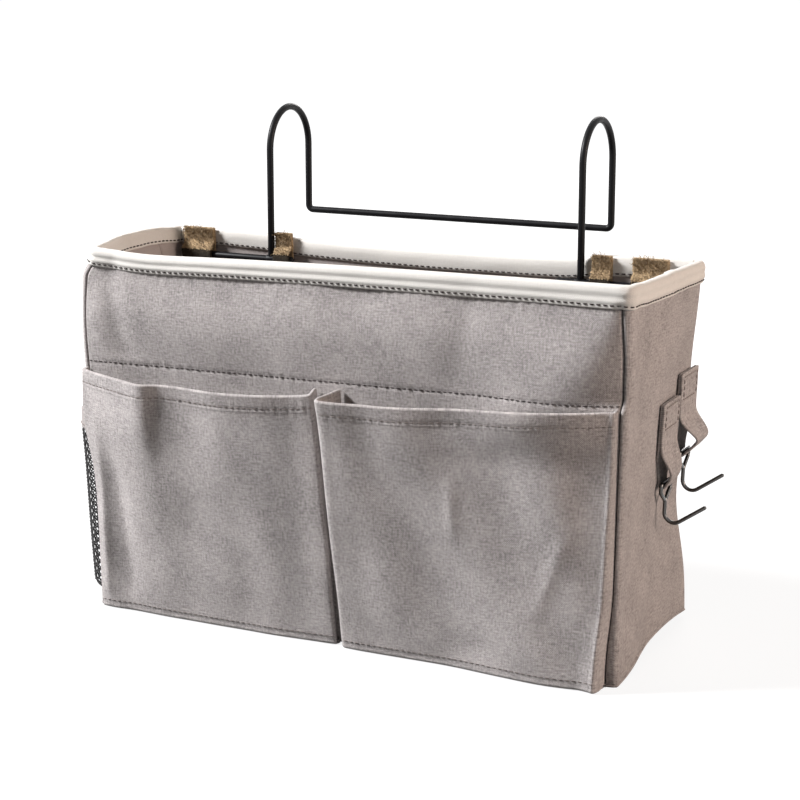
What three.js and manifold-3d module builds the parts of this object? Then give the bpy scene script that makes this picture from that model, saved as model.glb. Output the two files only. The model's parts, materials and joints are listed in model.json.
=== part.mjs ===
// Bedside caddy: a sewn canvas organiser that hangs from a bed rail on a bent-wire hanger.
// Millimetres, +Z up. X runs along the caddy, the front faces -Y, and the origin is the
// centre of the underside of the base.
import * as THREE from "three";
import { mergeVertices } from "three/addons/utils/BufferGeometryUtils.js";
import Module from "manifold-3d";

const wasm = await Module();
wasm.setup();

// Body: canvas outside faces at the rim. Each end leans in, and each face spreads out, towards the base.
const RIM_LENGTH = 327;
const RIM_DEPTH = 108;
const END_LEAN = 6.5;
const FACE_SPREAD = 9;
const BODY_HEIGHT = 207;
const CORNER_RADIUS = 5;

// Cloth and board thicknesses, and the gaps that sewn or stacked layers keep
const CANVAS = 1.2;
const BOARD = 1.5;
const BOARD_TOP_INSET = 14;
const LINING = 0.7;
const LAYER_GAP = 0.3;

// Binding tape folded over the rim
const BINDING_WIDTH = 12;
const BINDING_TAPE = 1.0;

// Front wall's swell between the pockets' mouths and the binding, rolled down to the corner seams
const FRONT_SWELL = 5.5;
const FRONT_SWELL_HEIGHT = 168;
const FRONT_SWELL_ABOVE_MOUTH = 1;
const FRONT_SWELL_LEFT_ROLL = 16;
const FRONT_SWELL_RIGHT_ROLL = 36;

// Front pockets: two patch pockets that end near the centre of the front wall
const POCKET_MOUTH_HEIGHT = 143;
const POCKET_FOOT_ROUND = 3;
const LEFT_POCKET_SAG = 5;
const LEFT_POCKET_MOUTH_END = 9.5;
const RIGHT_POCKET_SAG = 1.2;
const RIGHT_POCKET_MOUTH_END = 1.2;
const POCKET_FOOT_END = 1.2;

// Plan of each pocket, corner seam first: share of its length, stand-off at the mouth and at the foot
const LEFT_POCKET_PLAN = [
  [0, 0, 0],
  [0.012, 3.6, 2.4],
  [0.06, 6.8, 4],
  [0.17, 13, 3.6],
  [0.31, 20.4, 4.2],
  [0.36, 15.4, 4.3],
  [0.42, 14.4, 4.4],
  [0.65, 18.2, 5.2],
  [0.78, 16.8, 5.4],
  [0.89, 13, 5.4],
  [0.96, 9, 4.8],
  [0.99, 5.8, 3.4],
  [1, 0, 0],
];
const RIGHT_POCKET_PLAN = [
  [0, 0, 0],
  [0.003, 2.6, 11],
  [0.013, 4.6, 14],
  [0.05, 4, 12.6],
  [0.16, 10.4, 14.8],
  [0.36, 15.6, 12.2],
  [0.53, 19.6, 9.4],
  [0.75, 25.2, 8.6],
  [0.94, 27.2, 8],
  [0.985, 26.4, 7],
  [1, 22, 4.6],
  [1, 0, 0],
];

// Mesh pocket on the left side
const MESH_POCKET_LENGTH = 98;
const MESH_POCKET_HEIGHT = 100;
const MESH_POCKET_DEPTH = 15;
const MESH_POCKET_END_ROUND = 13;
const MESH_POCKET_BASE_ROUND = 16;
const MESH_SHEET = 1.0;
const MESH_PITCH = 11.5;
const MESH_STRAND = 1.8;
const MESH_BAND_HEIGHT = 10;
const MESH_BAND = 1.8;

// Hook straps sewn on the right side, folded in half to hold a wire hook in the loop
const STRAP = 1.4;
const STRAP_WIDTH = 24;
const STRAP_TIP_WIDTH = 13;
const STRAP_SEWN_HEIGHT = 27;
const STRAP_LOOP_DROP = 18;
const STRAP_LOOP_BULGE = 6;
const STRAP_TOP_HEIGHT = 136;
const STRAP_STAGGER = 11;
const STRAP_FRONT_Y = 14;
const STRAP_SPACING = 30;

// Wire hooks on the straps
const HOOK_WIRE = 2.2;
const HOOK_EYE_TAPER = 6;
const HOOK_SHANK = 6.5;
const HOOK_BEND_RADIUS = 5.5;
const HOOK_TIP_LENGTH = 17;
const HOOK_TIP_RISE = 36;
const HOOK_CLEARANCE = 0.5;

// Rail hanger: a bent wire with two hooks and a rear bar, welded to two straight feet
const WIRE = 4;
const HANGER_SPAN = 196;
const HANGER_OFFSET = 2;
const HANGER_FOOT_DROP = 16.5;
const HANGER_CREST_HEIGHT = 72;
const HANGER_GAP = 48.5;
const HANGER_BAR_HEIGHT = 7.5;
const HANGER_BEND_RADIUS = 3;
const HANGER_FOOT_STUB = 13.2;
const HANGER_FOOT_CLEARANCE = 3;

// Hook-and-loop tabs that hold the hanger's feet on the back wall
const TAB = 1.2;
const TAB_CLEARANCE = 0.3;
const CORNER_TAB_WIDTH = 20;
const LEFT_TAB_END_INSET = 0.5;
const RIGHT_TAB_END_INSET = 6;
const LEFT_LEG_TAB_WIDTH = 10.2;
const RIGHT_LEG_TAB_WIDTH = 11;
const LEFT_LEG_TAB_GAP = 0.8;
const RIGHT_LEG_TAB_GAP = 4.5;

// Facets: steps in a corner, the swell, a wire bend, a hook's crest and a fold, and sides of a wire
const CORNER_STEPS = 4;
const SWELL_STEPS = 3;
const WIRE_SIDES = 10;
const BEND_STEPS = 5;
const CREST_STEPS = 12;
const FOLD_STEPS = 6;

const lerp = THREE.MathUtils.lerp;
const radians = THREE.MathUtils.degToRad;
const lengthAt = (z) => RIM_LENGTH - 2 * END_LEAN * (1 - z / BODY_HEIGHT);
const depthAt = (z) => RIM_DEPTH + 2 * FACE_SPREAD * (1 - z / BODY_HEIGHT);
const steps = (count) => Array.from({ length: count + 1 }, (_, i) => i / count);

// Wall build-up, measured inwards from the canvas outside face
const BOARD_DEPTH = CANVAS + LAYER_GAP;
const FACE_LINING_DEPTH = BOARD_DEPTH + BOARD + LAYER_GAP;
const SIDE_LINING_DEPTH = CANVAS + LAYER_GAP;
const FACE_THICKNESS = FACE_LINING_DEPTH + LINING;
const SIDE_THICKNESS = SIDE_LINING_DEPTH + LINING;
const WALL_BOTTOM = CANVAS + LAYER_GAP;
const WALL_TOP = BODY_HEIGHT - BINDING_TAPE - LAYER_GAP;
const BOARD_TOP = BODY_HEIGHT - BOARD_TOP_INSET;
const SEAM_INSET = CORNER_RADIUS + LAYER_GAP;

const MATERIALS = {
  canvas: { color: 0x9c9491, roughness: 0.95, metalness: 0 },
  lining: { color: 0xa39a99, roughness: 0.95, metalness: 0 },
  board: { color: 0x8d8a85, roughness: 0.7, metalness: 0 },
  binding: { color: 0xe4dfd2, roughness: 0.9, metalness: 0 },
  mesh: { color: 0x3a3a3c, roughness: 0.8, metalness: 0 },
  tab: { color: 0x7d6c55, roughness: 1, metalness: 0 },
  wire: { color: 0x15161a, roughness: 0.4, metalness: 0.3 },
  plated: { color: 0xb9bbbd, roughness: 0.2, metalness: 1 },
};

const caddy = new THREE.Group();
caddy.name = "bedside_caddy";

function add(name, geometry, material, parent = caddy) {
  const mesh = new THREE.Mesh(geometry, new THREE.MeshStandardMaterial(MATERIALS[material]));
  mesh.name = name;
  parent.add(mesh);
  return mesh;
}

// Closed solids from points and triangles, and from lofted surfaces

function closedSolid(points, triangles) {
  const volume = triangles.reduce((sum, [a, b, c]) => {
    return sum + points[a].dot(points[b].clone().cross(points[c]));
  }, 0);
  const outward = volume < 0 ? triangles.map(([a, b, c]) => [a, c, b]) : triangles;
  const geometry = new THREE.BufferGeometry().setFromPoints(points);
  geometry.setIndex(outward.flat());
  geometry.computeVertexNormals();
  return geometry;
}

const quad = (a, b, c, d) => [
  [a, b, c],
  [a, c, d],
];

// A sheet of cloth: surface(u, v, t) gives its point at depth t below the outside face.
function sheet(surface, us, vs, thickness) {
  const rows = vs.length;
  const layer = us.length * rows;
  const at = (side, i, j) => side * layer + i * rows + j;
  const points = [0, thickness].flatMap((t) => us.flatMap((u) => vs.map((v) => surface(u, v, t))));
  const triangles = [];
  for (let i = 0; i + 1 < us.length; i++) {
    for (let j = 0; j + 1 < rows; j++) {
      triangles.push(...quad(at(0, i, j), at(0, i + 1, j), at(0, i + 1, j + 1), at(0, i, j + 1)));
      triangles.push(...quad(at(1, i, j), at(1, i, j + 1), at(1, i + 1, j + 1), at(1, i + 1, j)));
    }
    const last = rows - 1;
    triangles.push(...quad(at(0, i, 0), at(1, i, 0), at(1, i + 1, 0), at(0, i + 1, 0)));
    triangles.push(...quad(at(0, i, last), at(0, i + 1, last), at(1, i + 1, last), at(1, i, last)));
  }
  const end = us.length - 1;
  for (let j = 0; j + 1 < rows; j++) {
    triangles.push(...quad(at(0, 0, j), at(0, 0, j + 1), at(1, 0, j + 1), at(1, 0, j)));
    triangles.push(...quad(at(0, end, j), at(1, end, j), at(1, end, j + 1), at(0, end, j + 1)));
  }
  return closedSolid(points, triangles);
}

// A closed ring: section(i) gives the corners of its cross-section at station i.
function ring(stations, section) {
  const sections = Array.from({ length: stations }, (_, i) => section(i));
  const corners = sections[0].length;
  const at = (i, j) => (i % stations) * corners + (j % corners);
  const triangles = [];
  for (let i = 0; i < stations; i++) {
    for (let j = 0; j < corners; j++) {
      triangles.push(...quad(at(i, j), at(i + 1, j), at(i + 1, j + 1), at(i, j + 1)));
    }
  }
  return closedSolid(sections.flat(), triangles);
}

// Wires: a curve through straight runs and round bends, with its stations where it bends

class BentWire extends THREE.Curve {
  constructor(stations) {
    super();
    this.stations = stations;
  }
  getPoint(t) {
    const at = t * (this.stations.length - 1);
    const i = Math.min(Math.floor(at), this.stations.length - 2);
    return this.stations[i].clone().lerp(this.stations[i + 1], at - i);
  }
  getPointAt(u) {
    return this.getPoint(u);
  }
  getTangentAt(u) {
    const last = this.stations.length - 1;
    const i = Math.round(u * last);
    const run = (from, to) => this.stations[to].clone().sub(this.stations[from]).normalize();
    const before = run(Math.max(i - 1, 0), Math.max(i, 1));
    const after = run(Math.min(i, last - 1), Math.min(i + 1, last));
    return before.add(after).normalize();
  }
}

// Stations along a path of corners, each corner rounded to the radius given for it.
function bentPath(corners, radius, bendSteps) {
  const stations = [corners[0].clone()];
  for (let i = 1; i + 1 < corners.length; i++) {
    const into = corners[i].clone().sub(corners[i - 1]).normalize();
    const out = corners[i + 1].clone().sub(corners[i]).normalize();
    const turn = into.angleTo(out);
    const setback = radius * Math.tan(turn / 2);
    const start = corners[i].clone().addScaledVector(into, -setback);
    const inward = out.clone().addScaledVector(into, -out.dot(into)).normalize();
    for (const k of steps(bendSteps)) {
      const a = turn * k;
      stations.push(
        start
          .clone()
          .addScaledVector(into, radius * Math.sin(a))
          .addScaledVector(inward, radius * (1 - Math.cos(a))),
      );
    }
  }
  stations.push(corners.at(-1).clone());
  return stations;
}

function wire(stations, diameter) {
  const circle = new THREE.Shape();
  circle.absarc(0, 0, diameter / 2, 0, 2 * Math.PI);
  return new THREE.ExtrudeGeometry(circle, {
    steps: stations.length - 1,
    extrudePath: new BentWire(stations),
    bevelEnabled: false,
    curveSegments: WIRE_SIDES / 2,
  });
}

function manifold(geometry) {
  const bare = new THREE.BufferGeometry();
  bare.setAttribute("position", geometry.getAttribute("position"));
  bare.setIndex(geometry.index);
  const merged = mergeVertices(bare, 1e-4);
  return new wasm.Manifold(
    new wasm.Mesh({
      numProp: 3,
      vertProperties: new Float32Array(merged.getAttribute("position").array),
      triVerts: new Uint32Array(merged.index.array),
    }),
  );
}

function joined(...geometries) {
  const mesh = geometries
    .map(manifold)
    .reduce((whole, next) => whole.add(next))
    .getMesh();
  const geometry = new THREE.BufferGeometry();
  geometry.setAttribute("position", new THREE.BufferAttribute(mesh.vertProperties, 3));
  geometry.setIndex(new THREE.BufferAttribute(mesh.triVerts, 1));
  geometry.computeVertexNormals();
  return geometry;
}

// Body walls

const SWELL_BOTTOM = POCKET_MOUTH_HEIGHT + FRONT_SWELL_ABOVE_MOUTH;
const SWELL_TOP = Math.min(BOARD_TOP, BODY_HEIGHT - BINDING_WIDTH);
const SWELL_HEIGHTS = [
  ...steps(SWELL_STEPS).map((k) => lerp(SWELL_BOTTOM, FRONT_SWELL_HEIGHT, k)),
  ...steps(SWELL_STEPS).map((k) => lerp(FRONT_SWELL_HEIGHT, SWELL_TOP, k)),
];

// How far the front wall swells out, at a distance in from the left (end -1) or right (end 1) seam.
function frontSwell(end, inset, z) {
  const span = z < FRONT_SWELL_HEIGHT ? FRONT_SWELL_HEIGHT - SWELL_BOTTOM : SWELL_TOP - FRONT_SWELL_HEIGHT;
  const fromPeak = Math.min(Math.abs(z - FRONT_SWELL_HEIGHT) / span, 1);
  const roll = end < 0 ? FRONT_SWELL_LEFT_ROLL : FRONT_SWELL_RIGHT_ROLL;
  const fromSeam = Math.min(Math.max(inset / roll, 0), 1);
  return (FRONT_SWELL / 2) * Math.sin((Math.PI / 2) * fromSeam) * (1 + Math.cos(Math.PI * fromPeak));
}

// A layer of the front (side -1) or back (side 1) wall, its ends inset from the body's ends.
function faceLayer(side, endInset, depth, thickness, top = WALL_TOP) {
  const swelled = side < 0;
  const ownEnd = endInset - SEAM_INSET;
  const insets = (roll) => {
    const rolled = swelled ? steps(SWELL_STEPS).map((k) => roll * k) : [];
    return [ownEnd, ...rolled.filter((inset) => inset > ownEnd)];
  };
  const left = insets(FRONT_SWELL_LEFT_ROLL).map((inset) => ({ end: -1, inset }));
  const right = insets(FRONT_SWELL_RIGHT_ROLL).map((inset) => ({ end: 1, inset }));
  const between = swelled ? SWELL_HEIGHTS.filter((z, i) => z < top && z !== SWELL_HEIGHTS[i - 1]) : [];
  const surface = ({ end, inset }, z, t) => {
    const x = end * (lengthAt(z) / 2 - SEAM_INSET - inset);
    const swell = swelled ? frontSwell(end, inset, z) : 0;
    return new THREE.Vector3(x, side * (depthAt(z) / 2 + swell - depth - t), z);
  };
  return sheet(surface, [...left, ...right.reverse()], [WALL_BOTTOM, ...between, top], thickness);
}

// A flat layer of the left (side -1) or right (side 1) wall.
function sideLayer(side, endInset, depth, thickness) {
  const surface = (u, v, t) => {
    const z = lerp(WALL_BOTTOM, WALL_TOP, v);
    const half = depthAt(z) / 2 - endInset;
    return new THREE.Vector3(side * (lengthAt(z) / 2 - depth - t), lerp(-half, half, u), z);
  };
  return sheet(surface, steps(1), steps(1), thickness);
}

// A canvas side panel wraps both vertical corners and meets the front and back at their seams.
function sidePanel(side) {
  const corner = (end) =>
    steps(CORNER_STEPS).map((k) => ({ end, angle: (Math.PI / 2) * (end < 0 ? k - 1 : k) }));
  const surface = ({ end, angle }, v, t) => {
    const z = lerp(WALL_BOTTOM, WALL_TOP, v);
    const radius = CORNER_RADIUS - t;
    const x = lengthAt(z) / 2 - CORNER_RADIUS + radius * Math.cos(angle);
    const y = end * (depthAt(z) / 2 - CORNER_RADIUS) + radius * Math.sin(angle);
    return new THREE.Vector3(side * x, y, z);
  };
  return sheet(surface, [...corner(-1), ...corner(1)], steps(1), CANVAS);
}

function roundedRectangle(halfX, halfY, radius) {
  const shape = new THREE.Shape();
  shape.absarc(halfX - radius, halfY - radius, radius, 0, Math.PI / 2);
  shape.absarc(-halfX + radius, halfY - radius, radius, Math.PI / 2, Math.PI);
  shape.absarc(-halfX + radius, -halfY + radius, radius, Math.PI, 1.5 * Math.PI);
  shape.absarc(halfX - radius, -halfY + radius, radius, 1.5 * Math.PI, 2 * Math.PI);
  return shape;
}

// A flat layer of the base, set in from the walls' outside faces by sideInset and faceInset.
function baseLayer(bottom, thickness, sideInset, faceInset) {
  const halfX = lengthAt(bottom) / 2 - sideInset;
  const halfY = depthAt(bottom + thickness) / 2 - faceInset;
  const radius = Math.max(CORNER_RADIUS - sideInset, CANVAS);
  const geometry = new THREE.ExtrudeGeometry(roundedRectangle(halfX, halfY, radius), {
    depth: thickness,
    bevelEnabled: false,
    curveSegments: CORNER_STEPS,
  });
  return geometry.translate(0, 0, bottom);
}

// How far the face lining's ends stay in from the body's ends to clear the canvas's round corner.
function liningEndInset(depth) {
  const reach = CORNER_RADIUS - CANVAS - LAYER_GAP;
  const across = Math.min(Math.max(CORNER_RADIUS - depth, 0), reach);
  return CORNER_RADIUS - Math.sqrt(reach * reach - across * across);
}

function addBody() {
  add("front_panel", faceLayer(-1, SEAM_INSET, 0, CANVAS), "canvas");
  add("back_panel", faceLayer(1, SEAM_INSET, 0, CANVAS), "canvas");
  add("left_panel", sidePanel(-1), "canvas");
  add("right_panel", sidePanel(1), "canvas");
  add("base_panel", baseLayer(0, CANVAS, 0, 0), "canvas");

  add("front_board", faceLayer(-1, SEAM_INSET, BOARD_DEPTH, BOARD, BOARD_TOP), "board");
  add("back_board", faceLayer(1, SEAM_INSET, BOARD_DEPTH, BOARD, BOARD_TOP), "board");
  const insideSide = SIDE_THICKNESS + LAYER_GAP;
  const insideFace = FACE_THICKNESS + LAYER_GAP;
  add("base_board", baseLayer(WALL_BOTTOM, BOARD, insideSide, insideFace), "board");

  const faceEnd = liningEndInset(FACE_LINING_DEPTH);
  const sideEnd = Math.max(liningEndInset(SIDE_LINING_DEPTH), FACE_THICKNESS + LAYER_GAP);
  add("lining_front", faceLayer(-1, faceEnd, FACE_LINING_DEPTH, LINING), "lining");
  add("lining_back", faceLayer(1, faceEnd, FACE_LINING_DEPTH, LINING), "lining");
  add("lining_left", sideLayer(-1, sideEnd, SIDE_LINING_DEPTH, LINING), "lining");
  add("lining_right", sideLayer(1, sideEnd, SIDE_LINING_DEPTH, LINING), "lining");
  const baseLiningBottom = WALL_BOTTOM + BOARD + LAYER_GAP;
  add("lining_base", baseLayer(baseLiningBottom, LINING, insideSide, insideFace), "lining");
}

// Rim binding: one tape folded over the walls, an upside-down U all the way round
function rimBinding() {
  const low = BODY_HEIGHT - BINDING_WIDTH;
  const web = BODY_HEIGHT - BINDING_TAPE;
  const outside = { x: LAYER_GAP, y: LAYER_GAP };
  const inside = { x: -SIDE_THICKNESS - LAYER_GAP, y: -FACE_THICKNESS - LAYER_GAP };
  const grown = (offset, by) => ({ x: offset.x + by, y: offset.y + by });
  const profile = [
    { offset: grown(outside, BINDING_TAPE), z: low },
    { offset: grown(outside, BINDING_TAPE), z: BODY_HEIGHT },
    { offset: grown(inside, -BINDING_TAPE), z: BODY_HEIGHT },
    { offset: grown(inside, -BINDING_TAPE), z: low },
    { offset: inside, z: low },
    { offset: inside, z: web },
    { offset: outside, z: web },
    { offset: outside, z: low },
  ];
  const perCorner = CORNER_STEPS + 1;
  const signs = [
    [1, 1],
    [-1, 1],
    [-1, -1],
    [1, -1],
  ];
  const section = (i) => {
    const quarter = Math.floor(i / perCorner);
    const angle = (Math.PI / 2) * (quarter + (i % perCorner) / CORNER_STEPS);
    const [sx, sy] = signs[quarter];
    return profile.map(({ offset, z }) => {
      const radius = Math.max(CORNER_RADIUS + (offset.x + offset.y) / 2, BINDING_TAPE);
      const x = sx * (lengthAt(z) / 2 + offset.x - radius) + radius * Math.cos(angle);
      const y = sy * (depthAt(z) / 2 + offset.y - radius) + radius * Math.sin(angle);
      return new THREE.Vector3(x, y, z);
    });
  };
  return ring(signs.length * perCorner, section);
}

// The share of its depth that a pocket keeps at a height above its rounded foot.
function footShare(height, round) {
  const k = Math.min(height / round, 1);
  return Math.max(Math.sqrt(1 - (1 - k) ** 2), 0.16);
}

// Front pocket: a sheet that runs from its foot's plan to its mouth's plan, turned in at the foot.
function frontPocket(side, plan, mouthEnd, sag) {
  const heights = [0, 0.006, 0.015, 0.03, 0.25, 0.5, 0.75, 1];
  const bottom = LAYER_GAP;
  const last = plan.length - 1;
  const mouthAt = (i) => POCKET_MOUTH_HEIGHT - sag * Math.sin(Math.PI * plan[i][0]);
  const outside = (i, v) => {
    const [share, mouthStandOff, footStandOff] = plan[i];
    const far = lengthAt(lerp(bottom, mouthAt(i), v)) / 2 - SEAM_INSET;
    const near = lerp(POCKET_FOOT_END, mouthEnd, v);
    return new THREE.Vector2(lerp(far, near, share), lerp(footStandOff, mouthStandOff, v));
  };
  const surface = (i, v, t) => {
    const along = outside(Math.min(i + 1, last), v).sub(outside(Math.max(i - 1, 0), v));
    if (i === 0) along.set(0, 1);
    if (i === last) along.set(0, -1);
    const inward = new THREE.Vector2(-along.y, along.x).normalize();
    const point = outside(i, v).addScaledVector(inward, t);
    const z = lerp(bottom + t, mouthAt(i), v);
    const standOff = LAYER_GAP + point.y * footShare(v * (mouthAt(i) - bottom), POCKET_FOOT_ROUND);
    return new THREE.Vector3(side * point.x, -depthAt(z) / 2 - standOff, z);
  };
  return sheet(surface, [...plan.keys()], heights, CANVAS);
}

// Mesh pocket: plan of the pocket from its front seam to its rear seam, at depth t in the cloth
function meshPlan(share, t) {
  const half = MESH_POCKET_LENGTH / 2;
  const rise = MESH_POCKET_DEPTH;
  const round = MESH_POCKET_END_ROUND;
  const arc = (Math.PI / 2) * Math.sqrt((round * round + rise * rise) / 2);
  const straight = MESH_POCKET_LENGTH - 2 * round;
  const along = share * (2 * arc + straight);
  if (along > arc && along < arc + straight) {
    return { y: -half + round + along - arc, out: rise - t };
  }
  const end = along <= arc ? -1 : 1;
  const angle = (Math.PI / 2) * (end < 0 ? along / arc : (2 * arc + straight - along) / arc);
  const y = end * (half - round + (round - t) * Math.cos(angle));
  return { y, out: (rise - t) * Math.sin(angle) };
}

function meshPathLength() {
  const round = MESH_POCKET_END_ROUND;
  const arc = (Math.PI / 2) * Math.sqrt((round * round + MESH_POCKET_DEPTH ** 2) / 2);
  return 2 * arc + MESH_POCKET_LENGTH - 2 * round;
}

function meshPoint(share, z, t) {
  const { y, out } = meshPlan(share, t);
  const standOff = LAYER_GAP + out * footShare(z - WALL_BOTTOM, MESH_POCKET_BASE_ROUND);
  return new THREE.Vector3(-lengthAt(z) / 2 - standOff, y, z);
}

// The net is cut flat, as staggered rows of diamond gaps in a strip, then bent to the pocket's plan.
function meshNet() {
  const length = meshPathLength();
  const bottom = WALL_BOTTOM + LAYER_GAP;
  const height = MESH_POCKET_HEIGHT - bottom;
  const columns = Math.floor(length / MESH_PITCH);
  const rows = Math.floor((2 * height) / MESH_PITCH) - 1;
  const pitchAlong = length / columns;
  const pitchUp = (2 * height) / (rows + 1);
  const edgeSteps = 2 * columns;

  const flat = new THREE.Shape();
  const edge = (z) => steps(edgeSteps).map((k) => new THREE.Vector2(k * length, z));
  const rungs = steps(rows + 1).slice(1, -1);
  const sideEdge = (x, order) => order.map((k) => new THREE.Vector2(x, k * height));
  flat.setFromPoints([
    ...edge(0),
    ...sideEdge(length, rungs),
    ...edge(height).reverse(),
    ...sideEdge(0, [...rungs].reverse()),
  ]);
  const halfWide = pitchAlong / 2 - MESH_STRAND / Math.SQRT2;
  const halfTall = pitchUp / 2 - MESH_STRAND / Math.SQRT2;
  for (let row = 0; row < rows; row++) {
    const shifted = row % 2;
    for (let column = 0; column < columns - shifted; column++) {
      const x = (column + 0.5 + shifted / 2) * pitchAlong;
      const z = ((row + 1) * pitchUp) / 2;
      const gap = new THREE.Path();
      gap.setFromPoints([
        new THREE.Vector2(x + halfWide, z),
        new THREE.Vector2(x, z + halfTall),
        new THREE.Vector2(x - halfWide, z),
        new THREE.Vector2(x, z - halfTall),
      ]);
      flat.holes.push(gap);
    }
  }
  const net = new THREE.ExtrudeGeometry(flat, { depth: MESH_SHEET, bevelEnabled: false });
  const position = net.getAttribute("position");
  for (let i = 0; i < position.count; i++) {
    const share = THREE.MathUtils.clamp(position.getX(i) / length, 0, 1);
    const bent = meshPoint(share, bottom + position.getY(i), MESH_SHEET - position.getZ(i));
    position.setXYZ(i, bent.x, bent.y, bent.z);
  }
  return outwards(net);
}

// Bending can turn a solid's faces round, so they are set to point out again.
function outwards(geometry) {
  const bare = new THREE.BufferGeometry();
  bare.setAttribute("position", geometry.getAttribute("position"));
  bare.setIndex(geometry.index);
  const merged = mergeVertices(bare, 1e-4);
  const position = merged.getAttribute("position");
  const points = [];
  for (let i = 0; i < position.count; i++) {
    points.push(new THREE.Vector3().fromBufferAttribute(position, i));
  }
  const corners = merged.index.array;
  const triangles = [];
  for (let i = 0; i < corners.length; i += 3) {
    triangles.push([corners[i], corners[i + 1], corners[i + 2]]);
  }
  return closedSolid(points, triangles);
}

function meshBand() {
  const shares = steps(16);
  const low = MESH_POCKET_HEIGHT + LAYER_GAP;
  const surface = (u, v, t) => meshPoint(u, lerp(low, low + MESH_BAND_HEIGHT, v), t);
  return sheet(surface, shares, steps(1), MESH_BAND);
}

// Hook strap, in the frame of the side panel's face: x out of the face, z up it, and z 0 where the
// hook's eye bar lies in the loop.
const STRAP_BAR_RADIUS = HOOK_WIRE / 2 + HOOK_CLEARANCE;
const STRAP_BAR_OUT = LAYER_GAP + STRAP + STRAP_BAR_RADIUS;

function hookStrap() {
  const inside = STRAP_BAR_RADIUS;
  const outside = inside + STRAP;
  const back = -outside;
  const pinch = STRAP_LOOP_DROP;
  const top = pinch + STRAP_SEWN_HEIGHT;
  const front = back + 2 * STRAP;
  const belly = outside + STRAP_LOOP_BULGE;

  const outline = new THREE.Shape();
  outline.moveTo(back, top);
  outline.lineTo(back, pinch);
  outline.lineTo(back, 0);
  outline.absarc(0, 0, outside, Math.PI, 2 * Math.PI);
  outline.bezierCurveTo(belly - STRAP_LOOP_BULGE / 2, pinch * 0.3, belly, pinch * 0.6, front, pinch);
  outline.lineTo(front, top);

  const loop = new THREE.Path();
  loop.moveTo(back + STRAP, pinch * 0.8);
  loop.lineTo(back + STRAP, 0);
  loop.absarc(0, 0, inside, Math.PI, 2 * Math.PI);
  const slack = belly - STRAP;
  const sag = slack - STRAP_LOOP_BULGE / 2;
  loop.bezierCurveTo(sag, pinch * 0.3, slack - STRAP, pinch * 0.55, back + STRAP, pinch * 0.8);
  outline.holes.push(loop);

  const strap = new THREE.ExtrudeGeometry(outline, {
    depth: STRAP_WIDTH,
    bevelEnabled: false,
    curveSegments: FOLD_STEPS,
  });
  strap.rotateX(Math.PI / 2);
  strap.translate(0, STRAP_WIDTH / 2, 0);
  const position = strap.getAttribute("position");
  for (let i = 0; i < position.count; i++) {
    const share = THREE.MathUtils.smoothstep(position.getZ(i), 0, pinch);
    const width = lerp(STRAP_TIP_WIDTH, STRAP_WIDTH, share);
    position.setY(i, (position.getY(i) * width) / STRAP_WIDTH);
  }
  return strap.translate(STRAP_BAR_OUT, 0, 0);
}

// Wire hook: a triangular eye whose bar lies in the strap's loop, a shank and an open, rising tip
function wireHook() {
  const bar = STRAP_TIP_WIDTH / 2 + HOOK_WIRE / 2 + HOOK_CLEARANCE;
  const shoulder = -STRAP_BAR_RADIUS - STRAP - HOOK_CLEARANCE - HOOK_WIRE / 2;
  const apex = shoulder - HOOK_EYE_TAPER;
  const eyeHalf = (side) =>
    wire(
      bentPath(
        [
          new THREE.Vector3(0, 0, 0),
          new THREE.Vector3(0, side * bar, 0),
          new THREE.Vector3(0, side * bar, shoulder),
          new THREE.Vector3(0, 0, apex),
        ],
        HOOK_WIRE / 2,
        BEND_STEPS,
      ),
      HOOK_WIRE,
    );
  const rise = radians(HOOK_TIP_RISE);
  const setback = HOOK_BEND_RADIUS * Math.tan((Math.PI / 2 + rise) / 2);
  const foot = apex - HOOK_SHANK - setback;
  const reach = setback + HOOK_TIP_LENGTH;
  const tip = new THREE.Vector3(Math.cos(rise) * reach, 0, foot + Math.sin(rise) * reach);
  const shank = wire(
    bentPath(
      [new THREE.Vector3(0, 0, apex + HOOK_WIRE / 2), new THREE.Vector3(0, 0, foot), tip],
      HOOK_BEND_RADIUS,
      2 * BEND_STEPS,
    ),
    HOOK_WIRE,
  );
  return joined(eyeHalf(-1), eyeHalf(1), shank).translate(STRAP_BAR_OUT, 0, 0);
}

function addHookStrap(name, y, topHeight) {
  const lean = Math.atan2(END_LEAN, BODY_HEIGHT);
  const barHeight = topHeight - STRAP_LOOP_DROP - STRAP_SEWN_HEIGHT;
  const onFace = new THREE.Group();
  onFace.position.set(lengthAt(barHeight) / 2, y, barHeight);
  onFace.rotation.y = lean;
  caddy.add(onFace);
  add(`hook_strap_${name}`, hookStrap(), "canvas", onFace);
  add(`hook_${name}`, wireHook(), "plated", onFace);
}

// Rail hanger
const FOOT_HEIGHT = BODY_HEIGHT - HANGER_FOOT_DROP;
const FOOT_Y =
  depthAt(FOOT_HEIGHT) / 2 -
  FACE_THICKNESS -
  LAYER_GAP -
  BINDING_TAPE -
  LAYER_GAP -
  TAB -
  TAB_CLEARANCE -
  WIRE / 2;
const FOOT_END =
  lengthAt(FOOT_HEIGHT) / 2 - SIDE_THICKNESS - LAYER_GAP - BINDING_TAPE - HANGER_FOOT_CLEARANCE;

const LEFT_LEG = HANGER_OFFSET - HANGER_SPAN / 2;
const RIGHT_LEG = HANGER_OFFSET + HANGER_SPAN / 2;

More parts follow.
